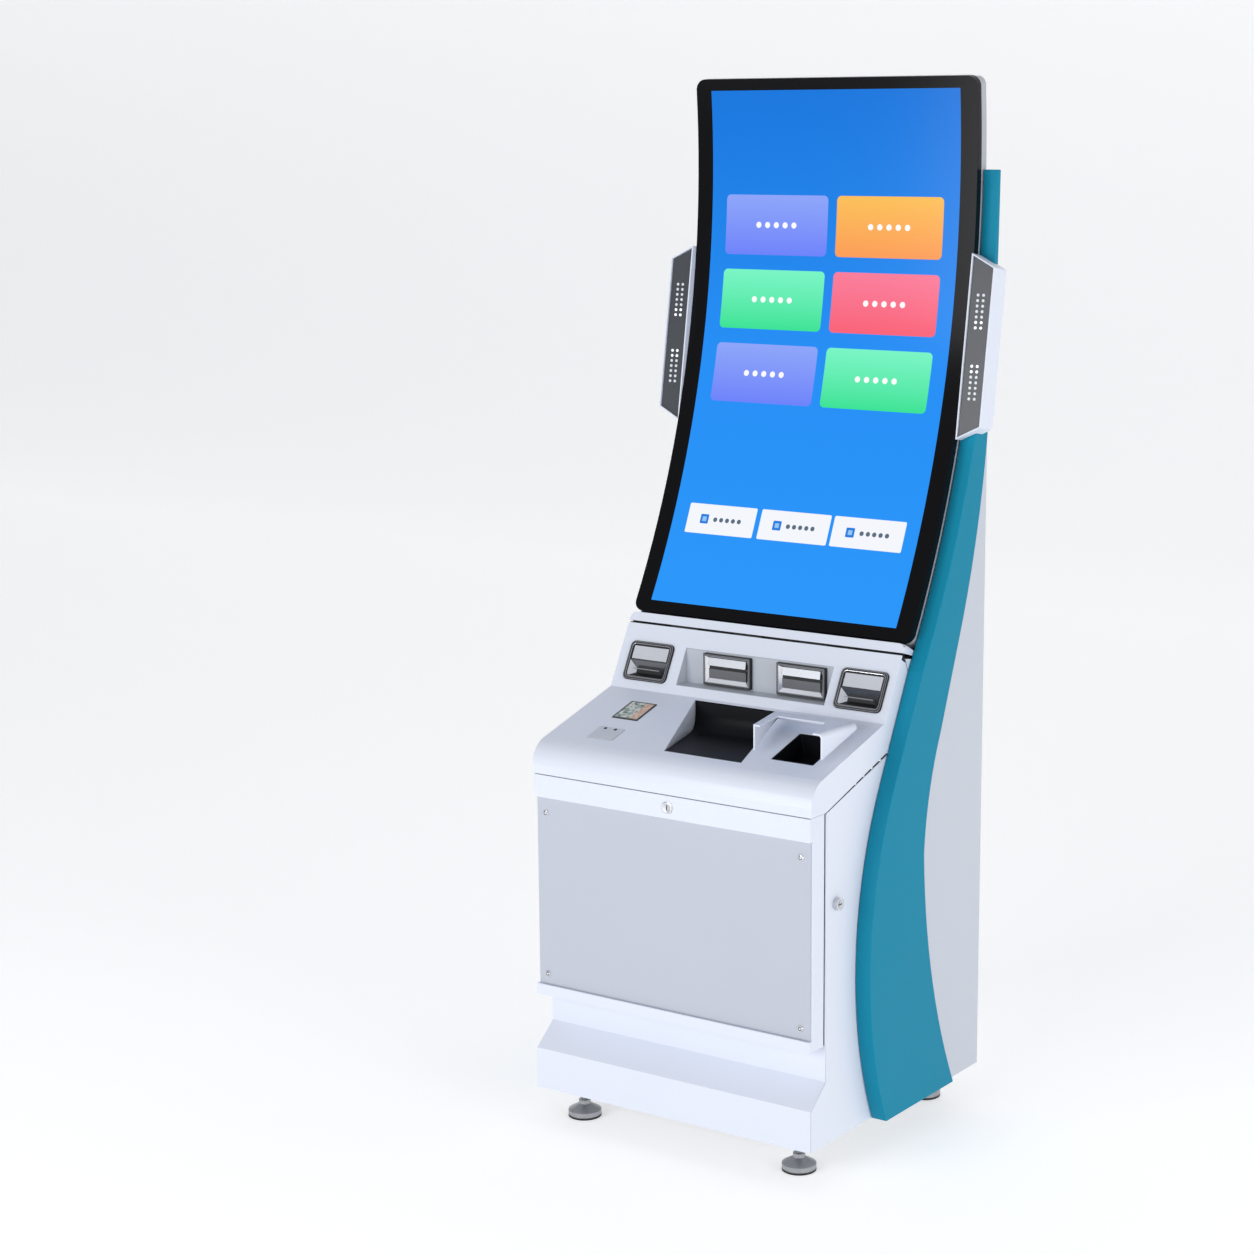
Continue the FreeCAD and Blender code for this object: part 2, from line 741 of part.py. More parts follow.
# Screws along the rear shell's two edges.
screw_radius = size("screw_radius", 4)
screw_inset = size("screw_inset", 24)
screw_spacing = size("screw_spacing", 2.1)
screws = []
for column in (-1, 1):
    for step in range(-2, 3):
        angle = step * screw_spacing
        spot = on_arc(angle, shell_back + layer_gap / 3)
        screw = rod(f"shell_screw_{len(screws)}", (column * (light_width / 2 - screw_inset), spot[0], spot[1]),
                    shell_screw - layer_gap / 3, screw_radius, "Y")
        screw.setExpression("Placement.Rotation.Angle", (angle - 90).text)
        screws.append(screw)
node(group("display_rear_screws", *screws), "display_rear_screws")

# -------------------------------------------------------------- lamp units

lamp_lean = size("lamp_lean", 8.9)
lamp_front = size("lamp_front", 463)
lamp_low = size("lamp_low", 1181)
lamp_height = size("lamp_height", 329)
lamp_width = size("lamp_width", 48)
lamp_depth = size("lamp_depth", 46)
lamp_chamfer = size("lamp_chamfer", 24)
lamp_wall = size("lamp_wall", 2.5)
lamp_inner = glass_width / 2 + 1
lamp_recess = size("lamp_recess", 4)
dot_radius = size("dot_radius", 2.6)
dot_pitch = size("dot_pitch", 9.6)
dot_column = size("dot_column", 11)


def lamp_outline(sign, inset):
    """The lamp's trapezium, its long edge beside the display."""
    slant = inset * 0.6
    points = [
        (lamp_inner + inset, inset + slant), (lamp_inner + lamp_width - inset, lamp_chamfer + slant),
        (lamp_inner + lamp_width - inset, lamp_height - lamp_chamfer - slant),
        (lamp_inner + inset, lamp_height - inset - slant),
    ]
    if sign > 0:
        return points
    return [(-across, along) for across, along in reversed(points)]


def lean_lamp(item):
    return place(item, 0, back(lamp_front), up(lamp_low), axis=(-1, 0, 0), angle=lamp_lean)


lamp_dots = []
for side, sign in (("left", -1), ("right", 1)):
    shell_body = extrude(f"lamp_shell_{side}", "front", [lamp_outline(sign, 0)], 0, lamp_depth)
    carve(shell_body, "front", [lamp_outline(sign, lamp_wall)], -1, lamp_depth + 1)
    lean_lamp(shell_body)
    low, high = (wing_in - 1, wing_out + 1) if sign > 0 else (flat_out - 1, -wing_in + 1)
    room = extrude(f"lamp_room_{side}", "side", [wing_outline(1)], low, high)
    node(cut(f"lamp_housing_{side}", shell_body, room), f"lamp_housing_{side}")
    face = extrude(f"lamp_face_{side}", "front", [lamp_outline(sign, lamp_wall + layer_gap)],
                   lamp_recess, lamp_recess + 3)
    node(lean_lamp(face), f"lamp_face_{side}")
    for cluster in (0.31, 0.69):
        for row in range(7):
            for column in (-1, 1):
                across = sign * (lamp_inner + lamp_width / 2) + column * dot_column / 2
                along = lamp_height * cluster + (row - 3) * dot_pitch
                dot = doc.addObject("Part::Cylinder", f"lamp_dot_{len(lamp_dots)}")
                bind(dot, Radius=dot_radius, Height=as_size(1.2))
                out = lamp_recess - layer_gap / 3
                spot_back = back(lamp_front) + out * cosine(lamp_lean) + along * sine(lamp_lean)
                spot_up = up(lamp_low) - out * sine(lamp_lean) + along * cosine(lamp_lean)
                place(dot, across, spot_back, spot_up, axis=(1, 0, 0), angle=90 - lamp_lean)
                lamp_dots.append(dot)
node(group("lamp_leds", *lamp_dots), "lamp_leds")

# -------------------------------------------------------------- front door

door_half = half - door_inset
plate_half = door_half - door_inset
lip_top = door_low + lip_height
band_low = door_high - band_height
tray_face = plate_recess + plate_thick
screw_across = size("screw_across", 271)
screw_low = size("screw_low", 218)
screw_high = size("screw_high", 518)
band_lock_up = size("band_lock_up", 567)
lock_radius = size("lock_radius", 11)


def door_profile(inset):
    """Side view of the door: lower lip, sunk plate face and top band."""
    return [
        (back(inset), up(door_low + inset)), (back(door_thick), up(door_low + inset)),
        (back(door_thick), up(door_high - inset)), (back(inset), up(door_high - inset)),
        (back(inset), up(band_low + inset)), (back(tray_face + inset), up(band_low + inset)),
        (back(tray_face + inset), up(lip_top - inset)), (back(inset), up(lip_top - inset)),
    ]


door = extrude("front_door_tray", "side", [door_profile(as_size(0))], -door_half, door_half)
hollow = door_profile(steel)
hollow[1] = (back(door_thick + 1), hollow[1][1])
hollow[2] = (back(door_thick + 1), hollow[2][1])
carve(door, "side", [hollow], -door_half + steel, door_half - steel)
carve(door, "front", [("circle", 0, up(band_lock_up), lock_hole)], back(-1), back(steel + 1))
plate = extrude("front_door_plate", "front", [
    rectangle(-plate_half, up(lip_top + 1), plate_half, up(band_low - 1)),
], back(plate_recess), back(tray_face - layer_gap / 3))
node(plate, "front_door_plate")
screws = []
for across in (-1, 1):
    for height in (screw_low, screw_high):
        screws.append(rod(f"door_screw_{len(screws)}", (across * screw_across, back(plate_recess - 2.6), up(height)),
                          as_size(2.5), as_size(5.5), "Y"))
node(group("front_door_screws", *screws), "front_door_screws")

# ------------------------------------------------------------ barrel hinges

knuckle_radius = size("knuckle_radius", 3.2)
pin_radius = size("pin_radius", 1.5)
pin_clear = size("pin_clear", 0.06)
knuckle_gap = size("knuckle_gap", 0.5)


def barrel_hinge(prefix, across, back_at, low, knuckle, fixed_leaf, moving_leaf):
    """Five knuckles on one pin: three on the cabinet, two on the door."""
    fixed = [rod(prefix + "_pin", (across, back_at, low), 5 * knuckle, pin_radius)]
    moving = []
    for index in range(5):
        start = low + index * knuckle
        ring = rod(f"{prefix}_knuckle_{index}", (across, back_at, start + knuckle_gap / 2),
                   knuckle - knuckle_gap, knuckle_radius)
        if index % 2 == 0:
            fixed.append(ring)
        else:
            moving.append(ring)
    for index, ring in enumerate(list(moving)):
        span = low + (2 * index + 1) * knuckle
        leaf = block(f"{prefix}_leaf_{index}", (moving_leaf[0], moving_leaf[1], span + knuckle_gap / 2),
                     (moving_leaf[2], moving_leaf[3], span + knuckle - knuckle_gap / 2))
        moving.append(leaf)
    for index in range(0, 5, 2):
        span = low + index * knuckle
        leaf = block(f"{prefix}_fixed_leaf_{index}", (fixed_leaf[0], fixed_leaf[1], span + knuckle_gap / 2),
                     (fixed_leaf[2], fixed_leaf[3], span + knuckle - knuckle_gap / 2))
        fixed.append(leaf)
    node(fuse(prefix, *fixed), prefix)
    bore = rod(prefix + "_bore", (across, back_at, low), 5 * knuckle, pin_radius + pin_clear)
    return cut(prefix + "_leaf", fuse(prefix + "_leaves", *moving), bore)


hinge_out = size("hinge_out", 3.6)
front_knuckle = size("front_knuckle", 72)
hinge_x = -(half + hinge_out)
front_pin = back(door_thick + seam / 2)
door_leaf = barrel_hinge(
    "front_hinge", hinge_x, front_pin, up(door_low + 25), front_knuckle,
    (hinge_x, front_pin + 0.4, -half - layer_gap / 3, back(toe_depth + 24)),
    (hinge_x, back(door_thick - 20), -door_half, front_pin - 0.4))
node(fuse("front_door", door, door_leaf), "front_door")

# The rear door's hinge stands behind the door, on the user's right-hand side.
rear_knuckle = size("rear_knuckle", 110)
rear_pin_back = body_depth + knuckle_radius + 0.6
rear_leaf = barrel_hinge(
    "rear_hinge", inside - 8, back(rear_pin_back), up(rear_door_low + 60), rear_knuckle,
    (inside - 7.5, back(body_depth + 0.1), half + 14, back(body_depth + 1.6)),
    (inside - 34, back(body_depth), inside - 8.5, back(body_depth + 1.6)))

# --------------------------------------------------------------- rear door

rear_half = inside - fit_gap
rear_door_gap = size("rear_door_gap", 12)
rear_edge = rear_half - rear_door_gap
rear_door = extrude("rear_door_tray", "front", [
    rectangle(-rear_edge - 10, up(rear_door_low), rear_edge, up(rear_door_top - 2)),
], back(body_depth - rear_door_thick), back(body_depth))
carve(rear_door, "front", [
    rectangle(-rear_edge - 10 + steel, up(rear_door_low + steel), rear_edge - steel,
              up(rear_door_top - 2 - steel)),
], back(body_depth - rear_door_thick - 1), back(body_depth - steel))
louvre_length = size("louvre_length", 150)
louvre_height = size("louvre_height", 3.4)
louvres = []
for column in (-1, 1):
    for row in range(9):
        low = up(480 + 18 * row)
        louvres.append(rectangle(column * 110 - louvre_length / 2, low,
                                 column * 110 + louvre_length / 2, low + louvre_height))
carve(rear_door, "front", louvres, back(body_depth - steel - 1), back(body_depth + 1))
rear_lock_across = size("rear_lock_across", -244)
rear_lock_up = size("rear_lock_up", 360)
carve(rear_door, "front", [("circle", rear_lock_across, up(rear_lock_up), lock_hole)],
      back(body_depth - steel - 1), back(body_depth + 1))
node(fuse("rear_door", rear_door, rear_leaf), "rear_door")

# ------------------------------------------------------------- cam locks

barrel_radius = lock_hole - 0.4
cam_length = size("cam_length", 24)
cam_width = size("cam_width", 12)
cam_thick = size("cam_thick", 3)
side_lock_proud = size("side_lock_proud", 9)

# Top-band lock: the cam lies level while the door is free and turns up
# behind the door frame's header.
band_reach = toe_depth + 2 * steel + 1.5
band_y = back(-lock_proud)
node(fuse(
    "band_lock",
    rod("band_lock_face", (0, band_y, up(band_lock_up)), lock_proud - layer_gap, lock_radius, "Y"),
    rod("band_lock_barrel", (0, band_y, up(band_lock_up)), lock_proud + band_reach + cam_thick,
        barrel_radius, "Y"),
    box("band_lock_cam", (0, back(band_reach), up(band_lock_up) - cam_width / 2),
        (cam_length, cam_thick, cam_width)),
), "band_lock")

side_reach = size("side_reach", 16)
node(fuse(
    "side_lock",
    rod("side_lock_face", (half + layer_gap, back(side_lock_back), up(side_lock_up)),
        side_lock_proud, lock_radius, "X"),
    rod("side_lock_barrel", (half - side_reach, back(side_lock_back), up(side_lock_up)),
        side_reach + 1, barrel_radius, "X"),
    box("side_lock_cam", (half - side_reach - cam_thick, back(side_lock_back) - cam_width / 2,
                          up(side_lock_up) - cam_length), (cam_thick, cam_width, cam_length)),
), "side_lock")

rear_reach = rear_door_thick + 2 * steel + 4
node(fuse(
    "rear_lock",
    rod("rear_lock_face", (rear_lock_across, back(body_depth) + layer_gap, up(rear_lock_up)),
        as_size(3), lock_radius, "Y"),
    rod("rear_lock_barrel", (rear_lock_across, back(body_depth - rear_reach), up(rear_lock_up)),
        rear_reach + 1, barrel_radius, "Y"),
    box("rear_lock_cam", (rear_lock_across - cam_width / 2, back(body_depth - rear_reach - cam_thick),
                          up(rear_lock_up) - cam_length * 1.2), (cam_width, cam_thick, cam_length * 1.2)),
), "rear_lock")

# ------------------------------------------------------------ levelling feet

foot_radius = size("foot_radius", 30.5)
foot_disc = size("foot_disc", 14)
foot_cone = size("foot_cone", 10)
stem_above = size("stem_above", 40)
for name, sign, distance in (("front_left", -1, foot_backs[0]), ("front_right", 1, foot_backs[0]),
                             ("rear_left", -1, foot_backs[1]), ("rear_right", 1, foot_backs[1])):
    spot = (sign * foot_across, back(distance))
    disc = rod(f"foot_disc_{name}", (*spot, 0), foot_disc, foot_radius)
    cone = doc.addObject("Part::Cone", f"foot_cone_{name}")
    bind(cone, Radius1=foot_radius - 4, Radius2=stem_radius + 6, Height=foot_cone)
    place(cone, *spot, foot_disc)
    stem = rod(f"foot_stem_{name}", (*spot, 0), foot_height + stem_above, stem_radius)
    node(fuse(f"levelling_foot_{name}", disc, cone, stem), f"levelling_foot_{name}")

# ------------------------------------------------------------- console hood

slope_run = cosine(worktop_slope)
slope_rise = sine(worktop_slope)
half_turn = (90 + worktop_slope) / 2
nose_tangent = nose_radius * cosine(half_turn) / sine(half_turn)


def on_worktop(along, out=0):
    """A point on the worktop, measured up its slope and out from its face."""
    return (back(along * slope_run - out * slope_rise),
            up(worktop_rise + along * slope_rise + out * slope_run))


def on_head(along, deep=0):
    """A point on the head panel, measured up its slope and in from its face."""
    return (back(head_foot + along * sine(head_lean) + deep * cosine(head_lean)),
            up(head_foot_up + along * cosine(head_lean) - deep * sine(head_lean)))


hood_points = [
    (back(0), up(seam_level)), (back(seam_break), up(seam_level)),
    (back(seam_end_back), up(seam_end_up)),
    (back(parting[2][0]), up(parting[2][1])), (back(parting[1][0]), up(parting[1][1])),
    (back(parting[0][0]), up(parting[0][1])), on_head(head_length),
    (back(head_foot), up(head_foot_up)), on_worktop(nose_tangent) + (nose_radius,),
    (back(0), up(worktop_rise - nose_tangent)),
]
hood = extrude("console_hood", "side", [hood_points], -half, half)
beyond = size("beyond", 60)
hood_inside = [
    (back(steel), up(seam_level - beyond)), (back(head_top_back + beyond), up(seam_level - beyond)),
    (back(head_top_back + beyond), up(head_top_up + beyond)), on_head(head_length + beyond, steel),
    on_head(steel * 0.6, steel), on_worktop(nose_tangent, -steel) + (nose_radius - steel,),
    (back(steel), up(worktop_rise - nose_tangent)),
]
carve(hood, "side", [hood_inside], -wall_inner, wall_inner)

# Openings through the head panel
pocket_left = size("pocket_left", -153)
pocket_right = size("pocket_right", 166)
pocket_low = size("pocket_low", 724)
pocket_high = size("pocket_high", 788)
pocket_back = size("pocket_back", 278)
round_width = size("round_width", 97)
round_height = size("round_height", 75)
round_along = size("round_along", 54)
card_across = size("card_across", -225)
note_across = size("note_across", 233)
bezel_body = size("bezel_body", 5)
head_cuts = [rectangle(pocket_left, up(pocket_low), pocket_right, up(pocket_high))]
for across in (card_across, note_across):
    middle = on_head(round_along)[1]
    reach = (round_height / 2 - bezel_body) * cosine(head_lean) - 1
    head_cuts.append(rectangle(across - round_width / 2 + bezel_body, middle - reach,
                               across + round_width / 2 - bezel_body, middle + reach))
carve(hood, "front", head_cuts, back(head_foot - 6), back(head_top_back + 30))

# Openings through the worktop
window_across = size("window_across", -187)
window_along = size("window_along", 168.5)
window_width = size("window_width", 58)
window_length = size("window_length", 67)
reader_across = size("reader_across", -186.5)
reader_along = size("reader_along", 78)
reader_width = size("reader_width", 55)
reader_length = size("reader_length", 44)
scoop_left = size("scoop_left", -98)
scoop_corner = size("scoop_corner", -41)
scoop_right = size("scoop_right", 121)
scoop_taper = size("scoop_taper", 31)
scoop_front = size("scoop_front", 51)
scoop_back = size("scoop_back", 237)
cup_left = size("cup_left", 165)
cup_right = size("cup_right", 251)
cup_front = size("cup_front", 77)
cup_back = size("cup_back", 175)


def worktop_hole(left, right, near, far):
    """A hole cut straight down, from its edges on the slope."""
    return rectangle(left, back(near * slope_run), right, back(far * slope_run))


def beside_scoop(gap, near_limit, far_limit):
    """The plan area between the scoop's slanted left edge and another edge."""
    near, far = back(scoop_front * slope_run), back(scoop_back * slope_run)
    return [(scoop_corner + gap, near), (near_limit, near), (far_limit, far), (scoop_left + gap, far)]


worktop_cuts = [
    worktop_hole(window_across - window_width / 2, window_across + window_width / 2,
                 window_along - window_length / 2, window_along + window_length / 2),
    worktop_hole(reader_across - reader_width / 2, reader_across + reader_width / 2,
                 reader_along - reader_length / 2, reader_along + reader_length / 2),
    beside_scoop(0, scoop_right, scoop_right - scoop_taper),
    worktop_hole(cup_left, cup_right, cup_front, cup_back),
]
carve(hood, "top", worktop_cuts, up(seam_level - 5), up(head_foot_up + 5))

# Pocket liner: a triangular box behind the head panel, with an upright back.
liner_top = pocket_high - fit_gap
liner_low = pocket_low - steel
head_gap = steel + layer_gap
liner = extrude("pocket_liner", "side", [[
    on_head((liner_low - head_foot_up + head_gap * sine(head_lean)) / cosine(head_lean), head_gap),
    (back(pocket_back + steel), up(liner_low)), (back(pocket_back + steel), up(liner_top)),
    on_head((liner_top - head_foot_up + head_gap * sine(head_lean)) / cosine(head_lean), head_gap),
]], pocket_left - steel, pocket_right + steel)
carve(liner, "side", [[
    (back(head_foot - 20), up(pocket_low)), (back(pocket_back), up(pocket_low)),
    (back(pocket_back), up(pocket_high + 2)), (back(head_foot - 20), up(pocket_high + 2)),
]], pocket_left, pocket_right)
node(liner, "pocket_liner")


def lean_head(item, along, across):
    """Seats a piece on the head panel: its own +Y goes in, +Z up the slope."""
    spot = on_head(along)
    return place(item, across, spot[0], spot[1], axis=(-1, 0, 0), angle=head_lean)


# Rounded bezels with a funnel and a slot
bezel_proud = size("bezel_proud", 4)
bezel_corner = size("bezel_corner", 10)
slot_width = size("slot_width", 66)
slot_height = size("slot_height", 3.6)
for name, across in (("card_bezel", card_across), ("note_bezel", note_across)):
    frame = extrude(name + "_frame", "front", [
        rounded(-round_width / 2, -round_height / 2, round_width / 2, round_height / 2, bezel_corner),
    ], -bezel_proud, -0.1)
    rear = block(name + "_rear", (-round_width / 2 + bezel_body + 0.5, -0.1, -round_height / 2 + bezel_body + 3),
                 (round_width / 2 - bezel_body - 0.5, 12, round_height / 2 - bezel_body - 3))
    funnel = taper(name + "_funnel", (-slot_width / 2 - 6, -bezel_proud - 0.1, -27),
                   (slot_width / 2 + 6, 9, -3), -8)
    slot = block(name + "_slot", (-slot_width / 2 + 3, -bezel_proud - 1, -15 - slot_height / 2),
                 (slot_width / 2 - 3, 13, -15 + slot_height / 2))
    bezel_item = cut(name, fuse(name + "_solid", frame, rear), fuse(name + "_mouth", funnel, slot))
    node(lean_head(bezel_item, round_along, across), name)

# Square bezels on the pocket's upright back
square_height = size("square_height", 58)
square_proud = size("square_proud", 8)
for name, left, right in (("receipt_bezel", -111, -8), ("dispenser_bezel", 48, 151)):
    middle = as_size((left + right) / 2)
    level = pocket_low + 31
    solid = block(name + "_solid", (left, 0, -square_height / 2), (right, square_proud, square_height / 2))
    funnel = taper(name + "_funnel", (left + 5, -0.1, -square_height / 2 + 5),
                   (right - 5, square_proud - 2, square_height / 2 - 5), -5)
    slot = block(name + "_slot", (left + 14, -1, -slot_height / 2), (right - 14, square_proud + 1, slot_height / 2))
    item = cut(name, solid, fuse(name + "_mouth", funnel, slot))
    node(place(item, 0, back(pocket_back) - square_proud - 0.1, up(level)), name)

# Modules behind the bezels
module_gap = size("module_gap", 0.5)
reader = wedge_block("card_reader", (-36, 12 + module_gap, -26), (36, 92, 20))
node(lean_head(reader, round_along, card_across), "card_reader")
acceptor = wedge_block("note_acceptor", (-42, 12 + module_gap, -28), (42, 105, 24))
node(lean_head(acceptor, round_along, note_across), "note_acceptor")
printer_low = pocket_low - 16
printer = block("receipt_printer", (-122, back(pocket_back + steel + module_gap), up(printer_low)),
                (4, back(pocket_back + 92), up(pocket_high - 8)))
node(printer, "receipt_printer")


def lean_top(item, across, along):
    """Seats a piece on the worktop: its own +Y goes up the slope."""
    spot = on_worktop(along)
    return place(item, across, spot[0], spot[1], axis=(1, 0, 0), angle=worktop_slope)


# Code window and contactless plate, sunk into the worktop
tile_gap = size("tile_gap", 0.8)
tile_thick = size("tile_thick", 6)
for name, across, along, width, length, proud in (
        ("code_window", window_across, window_along, window_width, window_length, 0.6),
        ("contactless_plate", reader_across, reader_along, reader_width, reader_length, 1.2)):
    tile = extrude(name, "top", [rounded(
        -width / 2 + tile_gap, -length / 2 + tile_gap, width / 2 - tile_gap, length / 2 - tile_gap, as_size(2),
    )], -tile_thick, proud)
    node(lean_top(tile, across, along), name)

# Note scoop: a black tray with a level floor that starts at the front edge and
# curves up into an upright rear wall; its left edge runs out towards the rear.
scoop_wall = size("scoop_wall", 2)
scoop_play = size("scoop_play", 0.5)
scoop_bend = size("scoop_bend", 32)
scoop_sink = size("scoop_sink", 2.4)
floor_near = scoop_front * slope_run + scoop_play
floor_far = scoop_back * slope_run - scoop_play
floor_level = worktop_rise + scoop_front * slope_rise - scoop_sink
bend_level = floor_level + scoop_bend
scoop_top = worktop_rise + scoop_back * slope_rise - steel
scoop = extrude("scoop_tray", "side", [[
    (back(floor_near), up(floor_level)), (back(floor_far - scoop_bend), up(floor_level), scoop_bend),
    (back(floor_far), up(bend_level)), (back(floor_far), up(scoop_top)),
    (back(floor_far - scoop_wall), up(scoop_top)),
    (back(floor_far - scoop_wall), up(bend_level), -(scoop_bend - scoop_wall)),
    (back(floor_far - scoop_bend), up(floor_level + scoop_wall)),
    (back(floor_near), up(floor_level + scoop_wall)),
]], scoop_left - 1, scoop_right - scoop_play)
outside = scoop_right + 5
for edge in ([beside_scoop(scoop_play, scoop_left - 2, scoop_left - 2)],
             [[(scoop_right - scoop_play, back(scoop_front * slope_run)), (outside, back(scoop_front * slope_run)),
               (outside, back(floor_far + 1)),
               (scoop_right - scoop_taper - scoop_play, back(scoop_back * slope_run))]]):
    carve(scoop, "top", edge, up(floor_level - 1), up(scoop_top + 1))
node(scoop, "scoop_tray")

# The white cheek on the scoop's left is one piece with the hood.
cheek = extrude("scoop_cheek", "side", [[
    (back(floor_near), up(floor_level)), (back(floor_far), up(floor_level)),
    (back(floor_far), up(scoop_top)), (back(floor_near), up(floor_level + steel * 0.6)),
]], scoop_left - 10, scoop_corner + 1)
for gap, limit in ((0, scoop_corner + 60), (-steel, scoop_left - 20)):
    carve(cheek, "top", [beside_scoop(gap, limit, limit)], up(floor_level - 1), up(scoop_top + 1))

# Hinge knuckles inside the hood's upper edge, on the cabinet's long rod.
lift_back = head_top_back + hinge_depth
lift_up = head_top_up - 1.2
lift_rod = size("lift_rod", 2)
lift_knuckle = size("lift_knuckle", 3.4)
hood_parts = [hood, cheek]
for index, across in enumerate((-200, -60, 80)):
    start = (as_size(across), back(lift_back), up(lift_up))
    hood_parts.append(rod(f"hood_knuckle_{index}", start, as_size(60), lift_knuckle, "X"))
hood_bore = rod("hood_bore", (-inside, back(lift_back), up(lift_up)), 2 * inside, lift_rod + pin_clear, "X")
node(cut("hood_shell", fuse("hood_with_knuckles", *hood_parts), hood_bore), "hood_shell")
lug_length = size("lug_length", 24)
lug_thick = size("lug_thick", 1.8)
lugs = [rod("hood_hinge_bar", (-inside, back(lift_back), up(lift_up)), 2 * inside, lift_rod, "X")]
for across in (-240, -115, 25, 170):
    lugs.append(block(f"hinge_lug_{len(lugs)}", (across, back(lift_back), up(lift_up)),
                      (across + lug_length, back(lift_back) + lug_thick, up(neck_low[1] - 3 * fit_gap))))
node(fuse("hood_hinge_rod", *lugs), "hood_hinge_rod")

# Coin cup, sunk in the worktop, and the coin hood that stands over it.
cup_depth = size("cup_depth", 44)
cup_wall = size("cup_wall", 2)
cup_across = (cup_left + cup_right) / 2
cup_half = (cup_right - cup_left) / 2 - scoop_play
cup_half_long = (cup_back - cup_front) / 2 - scoop_play
cup = extrude("coin_cup", "top", [rounded(-cup_half, -cup_half_long, cup_half, cup_half_long, as_size(5))],
              -cup_depth, as_size(-0.3))
carve(cup, "top", [rounded(-cup_half + cup_wall, -cup_half_long + cup_wall, cup_half - cup_wall,
                           cup_half_long - cup_wall, as_size(3))], -cup_depth + cup_wall, as_size(1))
node(lean_top(cup, cup_across, (cup_front + cup_back) / 2), "coin_cup")

arch_left = size("arch_left", 131)
arch_rear_left = size("arch_rear_left", 103)
arch_right = size("arch_right", 270)
arch_front = size("arch_front", 72.5)
arch_back = size("arch_back", 184)
arch_top = size("arch_top", 717.5)
arch_thick = size("arch_thick", 3)
arch_corner = size("arch_corner", 9)
arch_mouth = size("arch_mouth", 80)
arch_lip = size("arch_lip", 13)
arch_lip_rear = size("arch_lip_rear", 24)
arch_edge = size("arch_edge", 18)
arch_edge_rear = size("arch_edge_rear", 44)
arch_foot = worktop_rise - 40


def arch_solid(name, inset, near, far):
    """A solid with the coin hood's shape: its left side splays out to the rear."""
    solid = extrude(name, "front", [rounded(
        arch_rear_left - 20, up(arch_foot), arch_right - inset, up(arch_top) - inset, arch_corner - inset,
    )], near, far)
    carve(solid, "top", [[
        (arch_rear_left - 21, near - 1), (arch_left + inset, near - 1),
        (arch_rear_left + inset, back(arch_back) + 1), (arch_rear_left - 21, back(arch_back) + 1),
    ]], up(arch_foot - 1), up(arch_top + 1))
    return solid


arch = cut("coin_hood_arch", arch_solid("coin_hood_outside", as_size(0), back(arch_front), back(arch_back)),
           arch_solid("coin_hood_inside", arch_thick, back(arch_front - 1), back(arch_back - arch_thick)))
mouth = extrude("coin_hood_mouth", "top", [[
    (arch_left + arch_lip, back(arch_front - 2)), (arch_right - arch_edge, back(arch_front - 2)),
    (arch_right - arch_edge_rear, back(arch_front + arch_mouth)),
    (arch_rear_left + arch_lip_rear, back(arch_front + arch_mouth)),
]], up(arch_top - arch_thick - 1), up(arch_top + 1))
below = box("coin_hood_trim", (-half, -80, -150), (body_width, 400, 150.3))
lean_top(below, -half, as_size(0))
below.setExpression("Placement.Base.y", (on_worktop(0)[0] - 80 * slope_run).text)
below.setExpression("Placement.Base.z", (on_worktop(0)[1] - 80 * slope_rise - 149.9 * slope_run).text)
node(cut("coin_hood", arch, fuse("coin_hood_cuts", mouth, below)), "coin_hood")

# ------------------------------------------------------------ inside pieces

shelf_level = size("shelf_level", 118)
shelf = block("equipment_shelf", (-inside, back(toe_depth + 20), up(shelf_level)),
              (inside, back(rear_frame_back - 4), up(shelf_level + steel)))
node(shelf, "equipment_shelf")

# Note recycler: a frame of two cheeks, a base and a top transport, with two
# cassettes between the cheeks.
vault_left = size("vault_left", -250)
vault_right = size("vault_right", 10)
vault_front = size("vault_front", 78)
vault_back = size("vault_back", 500)
vault_height = size("vault_height", 400)
vault_low = shelf_level + steel + 0.3
cheek_thick = size("cheek_thick", 3)
transport_height = size("transport_height", 110)
transport_low = vault_low + vault_height - transport_height
vault = cut("recycler_hollow", fuse(
    "recycler_solid",
    block("recycler_base", (vault_left, back(vault_front), up(vault_low)),
          (vault_right, back(vault_back), up(vault_low + cheek_thick))),
    block("recycler_cheek_left", (vault_left, back(vault_front), up(vault_low)),
          (vault_left + cheek_thick, back(vault_back), up(vault_low + vault_height))),
    block("recycler_cheek_right", (vault_right - cheek_thick, back(vault_front), up(vault_low)),
          (vault_right, back(vault_back), up(vault_low + vault_height))),
    block("recycler_transport", (vault_left, back(vault_front), up(transport_low)),
          (vault_right, back(vault_back), up(vault_low + vault_height))),
), block("recycler_room", (vault_left + steel, back(vault_front + steel), up(transport_low + steel)),
         (vault_right - steel, back(vault_back - steel), up(vault_low + vault_height - steel))))
node(vault, "banknote_recycler")
cassette_height = (vault_height - transport_height - cheek_thick) / 2
cassettes = []
for index, name in enumerate(("cassette_lower", "cassette_upper")):
    low = vault_low + cheek_thick + 1 + index * cassette_height
    case = block(name + "_case", (vault_left + cheek_thick + 2, back(vault_front + 10), up(low)),
                 (vault_right - cheek_thick - 2, back(vault_back - 6), up(low + cassette_height - 4)))
    grip = block(name + "_grip", (vault_left + 90, back(vault_front - 4), up(low + 60)),
                 (vault_right - 90, back(vault_front + 11), up(low + 84)))
    hand = block(name + "_hand", (vault_left + 96, back(vault_front - 2), up(low + 50)),
                 (vault_right - 96, back(vault_front + 9), up(low + 78)))
    cassettes.append(cut(name, fuse(name + "_body", case, grip), hand))
node(group("cash_cassettes", *cassettes), "cash_cassettes")

